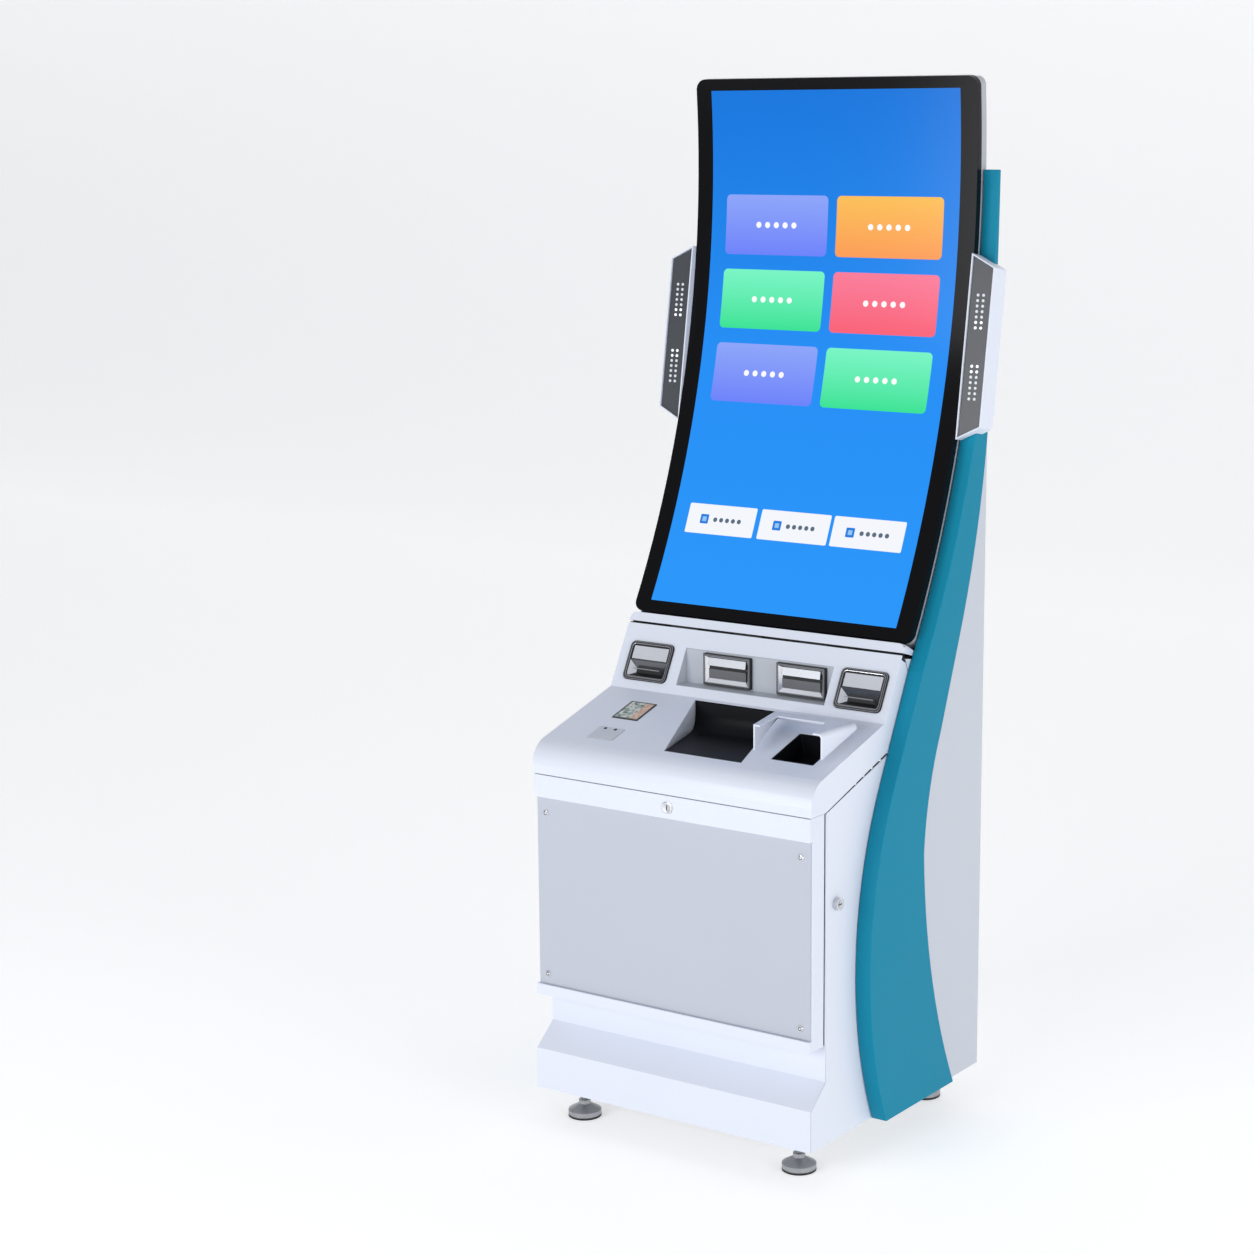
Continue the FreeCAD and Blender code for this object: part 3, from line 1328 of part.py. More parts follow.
# The control computer lies on the shelf, with the power supply on its rear
# half and the coin hopper's post on its front half.
computer_left = size("computer_left", 60)
computer_right = size("computer_right", 230)
computer_front = size("computer_front", 140)
computer_back = size("computer_back", 480)
computer_height = size("computer_height", 70)
supply_front = size("supply_front", 320)
supply_height = size("supply_height", 85)
hopper_across = size("hopper_across", 150)
hopper_back = size("hopper_back", 215)
hopper_level = size("hopper_level", 380)
hopper_height = size("hopper_height", 150)
hopper_half = size("hopper_half", 48)
hopper_flare = size("hopper_flare", 14)
post_half = size("post_half", 30)
computer_top = vault_low + computer_height
node(block("control_computer", (computer_left, back(computer_front), up(vault_low)),
           (computer_right, back(computer_back), up(computer_top))), "control_computer")
node(block("power_supply", (computer_left, back(supply_front), up(computer_top + layer_gap)),
           (computer_right - 30, back(computer_back), up(computer_top + supply_height))), "power_supply")
hopper = taper("hopper_bin", (-hopper_half, as_size(0), -hopper_half),
               (hopper_half, hopper_height, hopper_half), hopper_flare)
place(hopper, hopper_across, back(hopper_back), up(hopper_level), axis=(1, 0, 0), angle=as_size(90))
post = block("hopper_post", (hopper_across - post_half, back(hopper_back) - post_half, up(computer_top + layer_gap)),
             (hopper_across + post_half, back(hopper_back) + post_half, up(hopper_level + 1)))
node(fuse("coin_hopper", hopper, post), "coin_hopper")
inlet = fuse(
    "inlet_body",
    block("inlet_flange", (inlet_across - inlet_half - inlet_rim, back(body_depth - steel + layer_gap / 3),
                           up(inlet_up - inlet_half - inlet_rim)),
          (inlet_across + inlet_half + inlet_rim, back(body_depth + 1), up(inlet_up + inlet_half + inlet_rim))),
    block("inlet_shroud", (inlet_across - inlet_half, back(body_depth - inlet_half * 2), up(inlet_up - inlet_half)),
          (inlet_across + inlet_half, back(body_depth), up(inlet_up + inlet_half))))
inlet_socket = block("inlet_socket", (inlet_across - inlet_half + 4, back(body_depth - inlet_half), up(inlet_up - 8)),
                     (inlet_across + inlet_half - 4, back(body_depth + 2), up(inlet_up + 8)))
node(cut("mains_inlet", inlet, inlet_socket), "mains_inlet")

# ------------------------------------------------------------- check, write

doc.recompute()
faults = []
for item in doc.Objects:
    if "Invalid" in item.State or "Error" in item.State:
        faults.append(f"{item.Name}: {item.State}")
for pocket in pockets:
    before, after = pocket.BaseFeature.Shape, pocket.Shape
    if before.isNull() or after.isNull() or after.Volume >= before.Volume - 1e-3:
        faults.append(f"{pocket.Name} removes nothing")
for item in nodes:
    if item.Shape.isNull() or not item.Shape.isValid() or not item.Shape.Solids:
        faults.append(f"{item.Label}: no valid solid")
if len({item.Label for item in nodes}) != len(nodes):
    faults.append("two pieces share a name")
if faults:
    raise RuntimeError("\n".join(faults))

os.makedirs("parts", exist_ok=True)
for item in nodes:
    item.Shape.exportStep(f"parts/{item.Label}.step")
print(len(nodes), "pieces written")
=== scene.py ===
import math

import bmesh
import bpy
from mathutils import Matrix, Vector


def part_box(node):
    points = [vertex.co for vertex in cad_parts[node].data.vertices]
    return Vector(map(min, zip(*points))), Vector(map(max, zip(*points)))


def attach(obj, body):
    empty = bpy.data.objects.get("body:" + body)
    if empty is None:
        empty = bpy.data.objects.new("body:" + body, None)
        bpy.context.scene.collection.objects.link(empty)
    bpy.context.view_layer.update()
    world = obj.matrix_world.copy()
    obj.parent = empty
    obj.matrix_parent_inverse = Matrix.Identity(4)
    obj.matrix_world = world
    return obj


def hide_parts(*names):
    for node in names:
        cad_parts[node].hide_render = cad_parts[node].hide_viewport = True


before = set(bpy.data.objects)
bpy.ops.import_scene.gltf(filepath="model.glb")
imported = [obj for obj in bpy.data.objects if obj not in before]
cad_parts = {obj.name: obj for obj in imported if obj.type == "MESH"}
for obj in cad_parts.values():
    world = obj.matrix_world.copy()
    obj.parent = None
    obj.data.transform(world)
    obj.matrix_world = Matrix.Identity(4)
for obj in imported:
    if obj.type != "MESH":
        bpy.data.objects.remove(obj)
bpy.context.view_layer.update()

# ---------------------------------------------------------------- cabinet
# The cabinet is folded 2 mm steel sheet, spot welded and powder coated in a
# cool white: two side walls, a plinth with a toe recess, and the cover that
# closes the column behind the display.

MM = 0.001
cool_white = (0.735, 0.775, 0.865, 1.0)
fold_radius = 1.0 * MM


def put(tree, kind, feeds=None, **settings):
    """Adds a shader node, sets its options and feeds its sockets."""
    node = tree.nodes.new("ShaderNode" + kind)
    for name, value in settings.items():
        setattr(node, name, value)
    for socket, value in (feeds or {}).items():
        if isinstance(value, bpy.types.NodeSocket):
            tree.links.new(value, node.inputs[socket])
        else:
            node.inputs[socket].default_value = value
    return node


def maths(tree, operation, *feeds):
    """One sum on numbers or sockets; returns its result."""
    return put(tree, "Math", dict(enumerate(feeds)), operation=operation).outputs[0]


def mixed(tree, share, first, second, blend="MIX"):
    """Mixes two colours by a share; returns the colour."""
    node = put(tree, "Mix", data_type="RGBA", blend_type=blend)
    for socket, value in ((node.inputs[0], share), (node.inputs[6], first), (node.inputs[7], second)):
        if isinstance(value, bpy.types.NodeSocket):
            tree.links.new(value, socket)
        else:
            socket.default_value = value
    return node.outputs[2]


def effect(name, inputs, outputs):
    """A node group with named sockets; returns the tree and its two ends."""
    tree = bpy.data.node_groups.new(name, "ShaderNodeTree")
    for label, kind, value in inputs:
        socket = tree.interface.new_socket(label, in_out="INPUT", socket_type="NodeSocket" + kind)
        socket.default_value = value
    for label, kind in outputs:
        tree.interface.new_socket(label, in_out="OUTPUT", socket_type="NodeSocket" + kind)
    return tree, tree.nodes.new("NodeGroupInput").outputs, tree.nodes.new("NodeGroupOutput").inputs


def use(tree, group, **feeds):
    """Places a group in a material; underscores stand for spaces."""
    node = tree.nodes.new("ShaderNodeGroup")
    node.node_tree = group
    for name, value in feeds.items():
        socket = node.inputs[name.replace("_", " ")]
        if isinstance(value, bpy.types.NodeSocket):
            tree.links.new(value, socket)
        else:
            socket.default_value = value
    return node.outputs


def finish(name, **constants):
    """A new material; its shader's constants are named with underscores."""
    material = bpy.data.materials.new(name)
    material.use_nodes = True
    shader = material.node_tree.nodes["Principled BSDF"]
    for key, value in constants.items():
        shader.inputs[key.replace("_", " ")].default_value = value
    return material, material.node_tree, shader


def skin_effect():
    """Grain of a sprayed or moulded skin: fine dimples, a broad mottle and a
    roughness that wanders a little."""
    tree, given, result = effect(
        "surface grain",
        [("Colour", "Color", (0.8, 0.8, 0.8, 1)), ("Grain size", "Float", 0.001),
         ("Mottle", "Float", 0.04), ("Roughness", "Float", 0.4), ("Unevenness", "Float", 0.08)],
        [("Colour", "Color"), ("Roughness", "Float"), ("Height", "Float")])
    spot = put(tree, "TexCoord").outputs["Object"]
    fine = put(tree, "TexNoise", {"Vector": spot, "Detail": 2.0,
                                  "Scale": maths(tree, "DIVIDE", 1.0, given["Grain size"])})
    broad = put(tree, "TexNoise", {"Vector": spot, "Scale": 5.0, "Detail": 4.0})
    centred = maths(tree, "SUBTRACT", broad.outputs["Fac"], 0.5)
    shade = maths(tree, "MULTIPLY_ADD", centred, given["Mottle"], 1.0)
    grey = put(tree, "CombineColor", {"Red": shade, "Green": shade, "Blue": shade}).outputs[0]
    tree.links.new(mixed(tree, 1.0, given["Colour"], grey, "MULTIPLY"), result["Colour"])
    rough = maths(tree, "MULTIPLY_ADD", centred, given["Unevenness"], given["Roughness"])
    tree.links.new(rough, result["Roughness"])
    tree.links.new(fine.outputs["Fac"], result["Height"])
    return tree


surface_grain = skin_effect()


def coated(name, colour, roughness, grain=0.9 * MM, depth=0.03 * MM, mottle=0.03, **constants):
    """A sprayed or moulded finish in one colour."""
    material, tree, shader = finish(name, **constants)
    skin = use(tree, surface_grain, Colour=colour, Grain_size=grain, Mottle=mottle,
               Roughness=roughness, Unevenness=0.1)
    bump = put(tree, "Bump", {"Height": skin["Height"], "Distance": depth, "Strength": 0.6})
    tree.links.new(skin["Colour"], shader.inputs["Base Color"])
    tree.links.new(skin["Roughness"], shader.inputs["Roughness"])
    tree.links.new(bump.outputs["Normal"], shader.inputs["Normal"])
    return material


def dress(material, slot, *names):
    """Gives CAD nodes their finish."""
    for name in names:
        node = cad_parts[name]
        node.data.materials.clear()
        node.data.materials.append(material)


def fold(width, *names):
    """Rounds the edges of a CAD node to the radius of a fold or a moulding."""
    for name in names:
        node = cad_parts[name]
        weld = node.modifiers.new("joined faces", "WELD")
        weld.merge_threshold = 0.01 * MM
        bevel = node.modifiers.new("rounded edges", "BEVEL")
        bevel.width = width
        bevel.segments = 2
        bevel.limit_method = "ANGLE"
        bevel.angle_limit = math.radians(38)
        bevel.harden_normals = True


white_coat = coated("white powder coat", cool_white, 0.42)
dress(white_coat, "white_paint", "side_wall_left", "side_wall_right", "plinth_front", "column_cover")
fold(fold_radius * 0.6, "plinth_front", "column_cover")

# The floor plate, door frames, shelf, display brackets and note recycler are
# bare zinc-plated sheet, with the cloudy crystals of the plating.
zinc, zinc_tree, zinc_shader = finish("zinc plate", Metallic=0.9)
spangle = put(zinc_tree, "TexVoronoi", {"Vector": put(zinc_tree, "TexCoord").outputs["Object"],
                                         "Scale": 70.0, "Randomness": 1.0})
zinc_shade = mixed(zinc_tree, spangle.outputs["Color"], (0.52, 0.54, 0.56, 1), (0.66, 0.67, 0.69, 1))
zinc_tree.links.new(zinc_shade, zinc_shader.inputs["Base Color"])
zinc_rough = maths(zinc_tree, "MULTIPLY_ADD", spangle.outputs["Distance"], 0.2, 0.3)
zinc_tree.links.new(zinc_rough, zinc_shader.inputs["Roughness"])
dress(zinc, "bracket_steel", "floor_plate", "front_frame", "rear_frame", "equipment_shelf",
      "display_brackets", "banknote_recycler")

# ------------------------------------------------------------- front door
# The service door is a folded tray with a plain flat plate set into its face,
# held by four turned screws with a ring round a raised centre.

plate_coat = coated("plate powder coat", (0.50, 0.53, 0.60, 1), 0.38, grain=0.7 * MM)
dress(white_coat, "white_paint", "front_door")
dress(plate_coat, "grey_paint", "front_door_plate")
fold(fold_radius * 0.6, "front_door")


def metal(name, colour, roughness, streak=(1, 1, 1), wander=0.12):
    """A bare or plated metal whose polish is streaked along an axis."""
    material, tree, shader = finish(name, Metallic=1.0)
    spot = put(tree, "Mapping", {"Vector": put(tree, "TexCoord").outputs["Object"], "Scale": streak})
    lines = put(tree, "TexNoise", {"Vector": spot.outputs[0], "Scale": 400.0, "Detail": 3.0}).outputs["Fac"]
    tone = mixed(tree, lines, [c * 0.88 for c in colour[:3]] + [1], colour)
    tree.links.new(tone, shader.inputs["Base Color"])
    tree.links.new(maths(tree, "MULTIPLY_ADD", lines, wander, roughness), shader.inputs["Roughness"])
    bump = put(tree, "Bump", {"Height": lines, "Distance": 0.01 * MM, "Strength": 0.4})
    tree.links.new(bump.outputs["Normal"], shader.inputs["Normal"])
    return material


chrome = metal("chrome plate", (0.78, 0.79, 0.81, 1), 0.12)
# Dark chrome on the screws' grooves and the bezels' dark rings; on the bezels' shaded faces it is painted
# shade.
dark_chrome_and_painted_shade = coated("dark chrome and painted shade", (0.13, 0.135, 0.145, 1), 0.2, depth=0.0, Metallic=0.85)
keyway_black = coated("black keyway", (0.006, 0.006, 0.007, 1), 0.5)


def turned(name, rings, centre, axis, finishes, steps=48):
    """A lathe-turned piece: rings of (radius, height, finish index) about an axis."""
    mesh = bmesh.new()
    facing = Vector((0, 0, 1)).rotation_difference(Vector(axis)).to_matrix()
    loops = []
    for radius, height, _ in rings:
        if radius < 1e-6:
            loops.append([mesh.verts.new(Vector(centre) + facing @ Vector((0, 0, height)))])
            continue
        angles = [2 * math.pi * k / steps for k in range(steps)]
        loops.append([mesh.verts.new(Vector(centre) + facing @ Vector(
            (radius * math.cos(a), radius * math.sin(a), height))) for a in angles])
    for (low, high), ring in zip(zip(loops, loops[1:]), rings[1:]):
        for k in range(steps):
            corners = [low[k % len(low)], low[(k + 1) % len(low)],
                       high[(k + 1) % len(high)], high[k % len(high)]]
            face = mesh.faces.new(list(dict.fromkeys(corners)))
            face.material_index = ring[2]
            face.smooth = True
    return made(name, mesh, finishes)


def made(name, mesh, finishes):
    """Turns a bmesh into an object with its finishes."""
    bmesh.ops.recalc_face_normals(mesh, faces=mesh.faces)
    data = bpy.data.meshes.new(name)
    mesh.to_mesh(data)
    mesh.free()
    for material in finishes:
        data.materials.append(material)
    piece = bpy.data.objects.new(name, data)
    bpy.context.scene.collection.objects.link(piece)
    return piece


def sharp(piece, degrees=35):
    """Keeps a turned or folded piece's edges crisp and its rounds smooth."""
    for polygon in piece.data.polygons:
        polygon.use_smooth = True
    piece.data.set_sharp_from_angle(angle=math.radians(degrees))
    return piece


def block(mesh, low, high, index=0, place=Matrix()):
    """Adds a box between two corners to a bmesh, through a placement."""
    low, high = Vector(low), Vector(high)
    size = high - low
    shift = Matrix.Translation((low + high) / 2) @ Matrix.Diagonal((*size, 1))
    added = bmesh.ops.create_cube(mesh, size=1.0, matrix=place @ shift)["verts"]
    for face in {f for v in added for f in v.link_faces}:
        face.material_index = index


screw_low, screw_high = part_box("front_door_screws")
screw_radius = 5.5 * MM
across = (screw_low.x + screw_radius, screw_high.x - screw_radius)
levels = (screw_low.z + screw_radius, screw_high.z - screw_radius)
for column, x in zip(("left", "right"), across):
    for row, z in zip(("low", "high"), levels):
        rings = [(screw_radius, 0, 0), (screw_radius, 1.2 * MM, 0), (screw_radius * 0.9, 1.9 * MM, 0),
                 (screw_radius * 0.66, 2.2 * MM, 0), (screw_radius * 0.6, 1.9 * MM, 1),
                 (screw_radius * 0.42, 1.9 * MM, 1), (screw_radius * 0.36, 2.4 * MM, 0), (0, 2.6 * MM, 0)]
        seat = (x, screw_high.y, z)
        head = turned(f"door_screw_{row}_{column}", rings, seat, (0, -1, 0), [chrome, dark_chrome_and_painted_shade])
        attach(sharp(head), "front_door")
        if column == "left" and row == "low":
            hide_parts("front_door_screws")


# --------------------------------------------------- wings and rear covers
# The right wing is a deep boxed panel in teal with an S-shaped edge; the cover
# behind it is a plain white boxed panel. On the left both are flat plates.

teal_coat = coated("teal powder coat", (0.006, 0.235, 0.365, 1), 0.45, grain=0.8 * MM, mottle=0.05,
                   Specular_IOR_Level=0.1)
cover_coat = coated("cover powder coat", (0.56, 0.595, 0.655, 1), 0.45)
dress(teal_coat, "teal_paint", "wing_panel_left", "wing_panel_right")
dress(cover_coat, "white_cover", "rear_side_cover_left", "rear_side_cover_right")
fold(1.6 * MM, "wing_panel_right", "rear_side_cover_right")

# ------------------------------------------------------------- console hood
# The hood is one folded sheet that lifts on a long rod under its top edge; the rod, its lugs and the knuckles
# are coloured near black as painted shade in the seam, so the seam reads as one dark line.

head_lean = math.radians(27.6)
head_foot_y, head_foot_z = -0.05239, 0.7699
head_long = 126 * MM
knuckle_long, sheet_thick, seam_gap = 8 * MM, 1.3 * MM, 0.15 * MM
hood_coat = coated("hood powder coat", cool_white, 0.40)
hood_tree = hood_coat.node_tree
spot = put(hood_tree, "SeparateXYZ", {"Vector": put(hood_tree, "TexCoord").outputs["Object"]}).outputs
from_foot_y = maths(hood_tree, "SUBTRACT", spot["Y"], head_foot_y)
from_foot_z = maths(hood_tree, "SUBTRACT", spot["Z"], head_foot_z)
along = maths(hood_tree, "ADD", maths(hood_tree, "MULTIPLY", from_foot_y, math.sin(head_lean)),
              maths(hood_tree, "MULTIPLY", from_foot_z, math.cos(head_lean)))
deep = maths(hood_tree, "SUBTRACT", maths(hood_tree, "MULTIPLY", from_foot_y, math.cos(head_lean)),
             maths(hood_tree, "MULTIPLY", from_foot_z, math.sin(head_lean)))
# The knuckles and the sheet past the seam are painted near black: painted shade in the hinge seam.
seam_shade_zone = maths(hood_tree, "MULTIPLY", maths(hood_tree, "GREATER_THAN", along, head_long - knuckle_long),
                     maths(hood_tree, "GREATER_THAN", deep, sheet_thick))
seam_shade_zone = maths(hood_tree, "MAXIMUM", seam_shade_zone,
                     maths(hood_tree, "GREATER_THAN", along, head_long + seam_gap))
hood_shader = hood_tree.nodes["Principled BSDF"]
skin_colour = hood_shader.inputs["Base Color"].links[0].from_socket
hood_tree.links.new(mixed(hood_tree, seam_shade_zone, skin_colour, (0.02, 0.02, 0.022, 1)),
                    hood_shader.inputs["Base Color"])
dress(hood_coat, "white_paint", "hood_shell")
dress(white_coat, "white_paint", "coin_hood", "neck_panel")
# The pocket liner is a darker grey than the hood's white: painted shade inside the pocket.
dress(coated("liner coat in painted shade", (0.50, 0.53, 0.58, 1), 0.45), "white_paint", "pocket_liner")
fold(0.5 * MM, "hood_shell")
fold(0.9 * MM, "coin_hood", "neck_panel")

# The hinge rod and its lugs are near black: painted shade in the hinge seam.
seam_shade_steel = metal("steel in painted seam shade", (0.03, 0.03, 0.033, 1), 0.4)
dress(seam_shade_steel, "bright_metal", "hood_hinge_rod")

# A black rubber strip behind the hinge rod closes the seam to the neck.
rod_low, rod_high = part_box("hood_hinge_rod")
seal_mesh = bmesh.new()
rod_y, rod_z = 0.01019, 0.88038
seal_end, seal_near, seal_far, seal_below, seal_above = 1 * MM, 5.0 * MM, 6.2 * MM, 7 * MM, 7.5 * MM
block(seal_mesh, (rod_low.x + seal_end, rod_y + seal_near, rod_z - seal_below),
      (rod_high.x - seal_end, rod_y + seal_far, rod_z + seal_above))
hinge_seal = made("hinge_seal", seal_mesh, [coated("black rubber seal", (0.012, 0.012, 0.013, 1), 0.7)])
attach(hinge_seal, "cabinet")

# ------------------------------------------------------- rounded card bezels
# The card and note entries are chromed zinc castings: a dark rounded frame, a bright blank plate above, and a
# funnel below that narrows to a black slot. The funnel's left wall is painted highlight and its right and top
# walls painted shade.

satin_chrome = metal("satin chrome", (0.66, 0.67, 0.70, 1), 0.26, streak=(0.05, 1, 1))
# The bright plate tone is the card bezels' blank plate, and painted highlight on the bezels' lit faces.
plate_and_painted_highlight = coated("blank plate and painted highlight", (0.66, 0.68, 0.72, 1), 0.28, depth=0.0, Metallic=0.25)
edge_black = coated("black edge", (0.015, 0.016, 0.018, 1), 0.4, depth=0.0, Metallic=0.5)


def head_place(across):
    """Sits a piece on the head panel: its +Y goes in, its +Z goes up the slope."""
    along = 54 * MM
    turn = Matrix.Rotation(-head_lean, 4, "X")
    return Matrix.Translation((across, head_foot_y + along * math.sin(head_lean),
                               head_foot_z + along * math.cos(head_lean))) @ turn


def ring_points(half_wide, half_high, radius, depth, place, steps=5):
    """The corners of a rounded rectangle that faces along its own Y."""
    points = []
    for sx, sz, start in ((1, 1, 0), (-1, 1, 90), (-1, -1, 180), (1, -1, 270)):
        for k in range(steps + 1):
            angle = math.radians(start + 90 * k / steps)
            points.append(place @ Vector((sx * (half_wide - radius) + radius * math.cos(angle), depth,
                                          sz * (half_high - radius) + radius * math.sin(angle))))
    return points


def stepped(mesh, rings, place):
    """Skins rounded rectangles (half wide, half high, radius, depth, finish)."""
    loops = [[mesh.verts.new(p) for p in ring_points(*ring[:4], place)] for ring in rings]
    for (low, high), ring in zip(zip(loops, loops[1:]), rings[1:]):
        for k in range(len(low)):
            face = mesh.faces.new((low[k], low[(k + 1) % len(low)], high[(k + 1) % len(low)], high[k]))
            face.material_index = ring[4]


def quad(mesh, corners, index, place):
    """One flat face from four corners."""
    face = mesh.faces.new([mesh.verts.new(place @ (Vector(c) * MM)) for c in corners])
    face.material_index = index


# Tones of the bezel castings: plate also stands for painted highlight on lit faces, dark for painted shade on
# shaded faces.
dark, shiny, plate, slot_black, edge = range(5)
bezel_finishes = [dark_chrome_and_painted_shade, chrome, plate_and_painted_highlight, keyway_black, edge_black]
card_across, note_across = -225 * MM, 233 * MM
room_wide, room_high = 41.3, 30.3
slot_wide, slot_low, slot_high, slot_deep = 28, -20.5, -12.5, 8
blank_plate = (-38.5, -2.9, 3.5), (38.5, -1.2, 28)
slot_blade = (-30, -1.2, -15.5), (28, 7.8, -14)
lower_lip = (-38, -1.6, -31.6), (38, -1.0, -29.8)
for node_name, across in (("card_bezel", card_across), ("note_bezel", note_across)):
    mesh = bmesh.new()
    place = head_place(across)
    rings = [(48.5, 37.5, 10, 0, edge), (48.5, 37.5, 10, -3, edge), (47.3, 36.3, 9, -4, edge),
             (46.6, 35.6, 8.7, -4, shiny), (43.6, 32.6, 7.4, -4, dark), (42.6, 31.6, 7, -3.8, shiny),
             (room_wide, room_high, 6, -1.4, edge)]
    stepped(mesh, [tuple(v * MM for v in ring[:4]) + (ring[4],) for ring in rings], place)
    quad(mesh, ((-room_wide, -1.2, 1), (room_wide, -1.2, 1),
                (room_wide, -1.2, room_high), (-room_wide, -1.2, room_high)), dark, place)
    block(mesh, *[Vector(corner) * MM for corner in blank_plate], plate, place)
    outer = ((-room_wide, -1.3, -room_high), (room_wide, -1.3, -room_high),
             (room_wide, -1.3, 1), (-room_wide, -1.3, 1))
    inner = ((-slot_wide, slot_deep, slot_low), (slot_wide, slot_deep, slot_low),
             (slot_wide, slot_deep, slot_high), (-slot_wide, slot_deep, slot_high))
    # Funnel walls: the bottom one black, the right and top ones dark as painted shade, the left one bright as
    # painted highlight.
    for k, tone in enumerate((slot_black, dark, dark, plate)):
        quad(mesh, (outer[k], outer[(k + 1) % 4], inner[(k + 1) % 4], inner[k]), tone, place)
    quad(mesh, inner, slot_black, place)
    block(mesh, *[Vector(corner) * MM for corner in slot_blade], shiny, place)
    block(mesh, *[Vector(corner) * MM for corner in lower_lip], shiny, place)
    piece = made(node_name + "_casting", mesh, bezel_finishes)
    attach(piece, "console_hood")
    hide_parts(node_name)

# -------------------------------------------------------- square bezels
# The receipt and note exits are chromed frames in the pocket: a sloped top face in painted highlight, a black
# slot under it, a lower panel in painted shade and a lower bevel in painted highlight.

rim, rim_deep, facet, panel_foot = 5.2, 0.8, 6, -16.5
for node_name in ("receipt_bezel", "dispenser_bezel"):
    low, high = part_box(node_name)
    place = Matrix.Translation(((low.x + high.x) / 2, low.y, (low.z + high.z) / 2))
    wide, tall = (high.x - low.x) / 2 / MM, (high.z - low.z) / 2 / MM
    mesh = bmesh.new()
    reach, rise = wide - rim, tall - rim
    rings = [(wide, tall, 1.5, 8, edge), (wide, tall, 1.5, 1, edge), (wide - 1, tall - 1, 1.2, 0, edge),
             (wide - 4.4, tall - 4.4, 0.8, 0, dark), (reach, rise, 0.6, rim_deep, shiny)]
    stepped(mesh, [tuple(v * MM for v in ring[:4]) + (ring[4],) for ring in rings], place)
    # Rows down the inside: the plate tone on the sloped top face and the lower bevel is painted highlight,
    # the dark tone on the lower panel painted shade.
    rows = [(rise, rim_deep, dark), (tall - 7.5, 3.4, edge), (7.5, 0.9, plate), (6.8, 6, edge),
            (1.2, 6, slot_black), (0.8, 3, shiny), (panel_foot, 3.6, dark), (-rise, rim_deep, plate)]
    for (z0, y0, _), (z1, y1, tone) in zip(rows, rows[1:]):
        inset0, inset1 = (reach - facet if rim_deep < y else reach for y in (y0, y1))
        quad(mesh, ((-inset0, y0, z0), (inset0, y0, z0), (inset1, y1, z1), (-inset1, y1, z1)), tone, place)
    for side in (-1, 1):
        outside, inside = side * reach, side * (reach - facet)
        quad(mesh, ((outside, rim_deep, rise), (outside, rim_deep, -rise),
                    (inside, 5, panel_foot), (inside, 5, tall - 7)), shiny, place)
    quad(mesh, ((-reach, 6.4, 8), (reach, 6.4, 8), (reach, 6.4, -1), (-reach, 6.4, -1)), slot_black, place)
    piece = made(node_name + "_casting", mesh, bezel_finishes)
    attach(piece, "console_hood")
    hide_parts(node_name)

# ------------------------------------------------ scoop, cup, code window
# The note scoop and the coin cup are black moulded trays with a fine grain. The
# code window is a pane with a black border round a printed mosaic, and the
# contactless plate a light moulding with two small dark marks.

black_moulding = coated("black moulding", (0.006, 0.0065, 0.008, 1), 0.5, grain=0.5 * MM, depth=0.04 * MM,
                        Specular_IOR_Level=0.15)
dress(black_moulding, "black_plastic", "scoop_tray", "coin_cup")
fold(0.8 * MM, "scoop_tray", "coin_cup")

pane_low, pane_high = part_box("code_window")
mosaic, mosaic_tree, mosaic_shader = finish("printed code pane", Roughness=0.15)
spot = put(mosaic_tree, "SeparateXYZ", {"Vector": put(mosaic_tree, "TexCoord").outputs["Object"]}).outputs
across = maths(mosaic_tree, "SUBTRACT", spot["X"], (pane_low.x + pane_high.x) / 2)
length = maths(mosaic_tree, "SUBTRACT", spot["Y"], (pane_low.y + pane_high.y) / 2)
cells = put(mosaic_tree, "CombineXYZ", {
    "X": maths(mosaic_tree, "FLOOR", maths(mosaic_tree, "DIVIDE", across, 4.4 * MM)),
    "Y": maths(mosaic_tree, "FLOOR", maths(mosaic_tree, "DIVIDE", length, 4.4 * MM))}).outputs[0]
chance = put(mosaic_tree, "TexWhiteNoise", {"Vector": cells}, noise_dimensions="3D").outputs["Value"]
ramp = put(mosaic_tree, "ValToRGB", {"Fac": chance})
ramp.color_ramp.interpolation = "CONSTANT"
print_tones = ((0.0, (0.20, 0.30, 0.24, 1)), (0.25, (0.45, 0.52, 0.48, 1)),
               (0.55, (0.66, 0.68, 0.62, 1)), (0.8, (0.33, 0.38, 0.36, 1)), (0.92, (0.07, 0.08, 0.08, 1)))
for share, colour in print_tones:
    stop = ramp.color_ramp.elements[0] if share == 0.0 else ramp.color_ramp.elements.new(share)
    stop.color = colour
warm = maths(mosaic_tree, "GREATER_THAN", across, 8 * MM)
warm_share = maths(mosaic_tree, "MULTIPLY", warm, 0.6)
tinted = mixed(mosaic_tree, warm_share, ramp.outputs[0], (0.80, 0.40, 0.24, 1))
border = maths(mosaic_tree, "MAXIMUM",
               maths(mosaic_tree, "GREATER_THAN", maths(mosaic_tree, "ABSOLUTE", across), 24.2 * MM),
               maths(mosaic_tree, "GREATER_THAN", maths(mosaic_tree, "ABSOLUTE", length), 28.0 * MM))
mosaic_tree.links.new(mixed(mosaic_tree, border, tinted, (0.008, 0.008, 0.009, 1)),
                      mosaic_shader.inputs["Base Color"])
dress(mosaic, "black_plastic", "code_window")

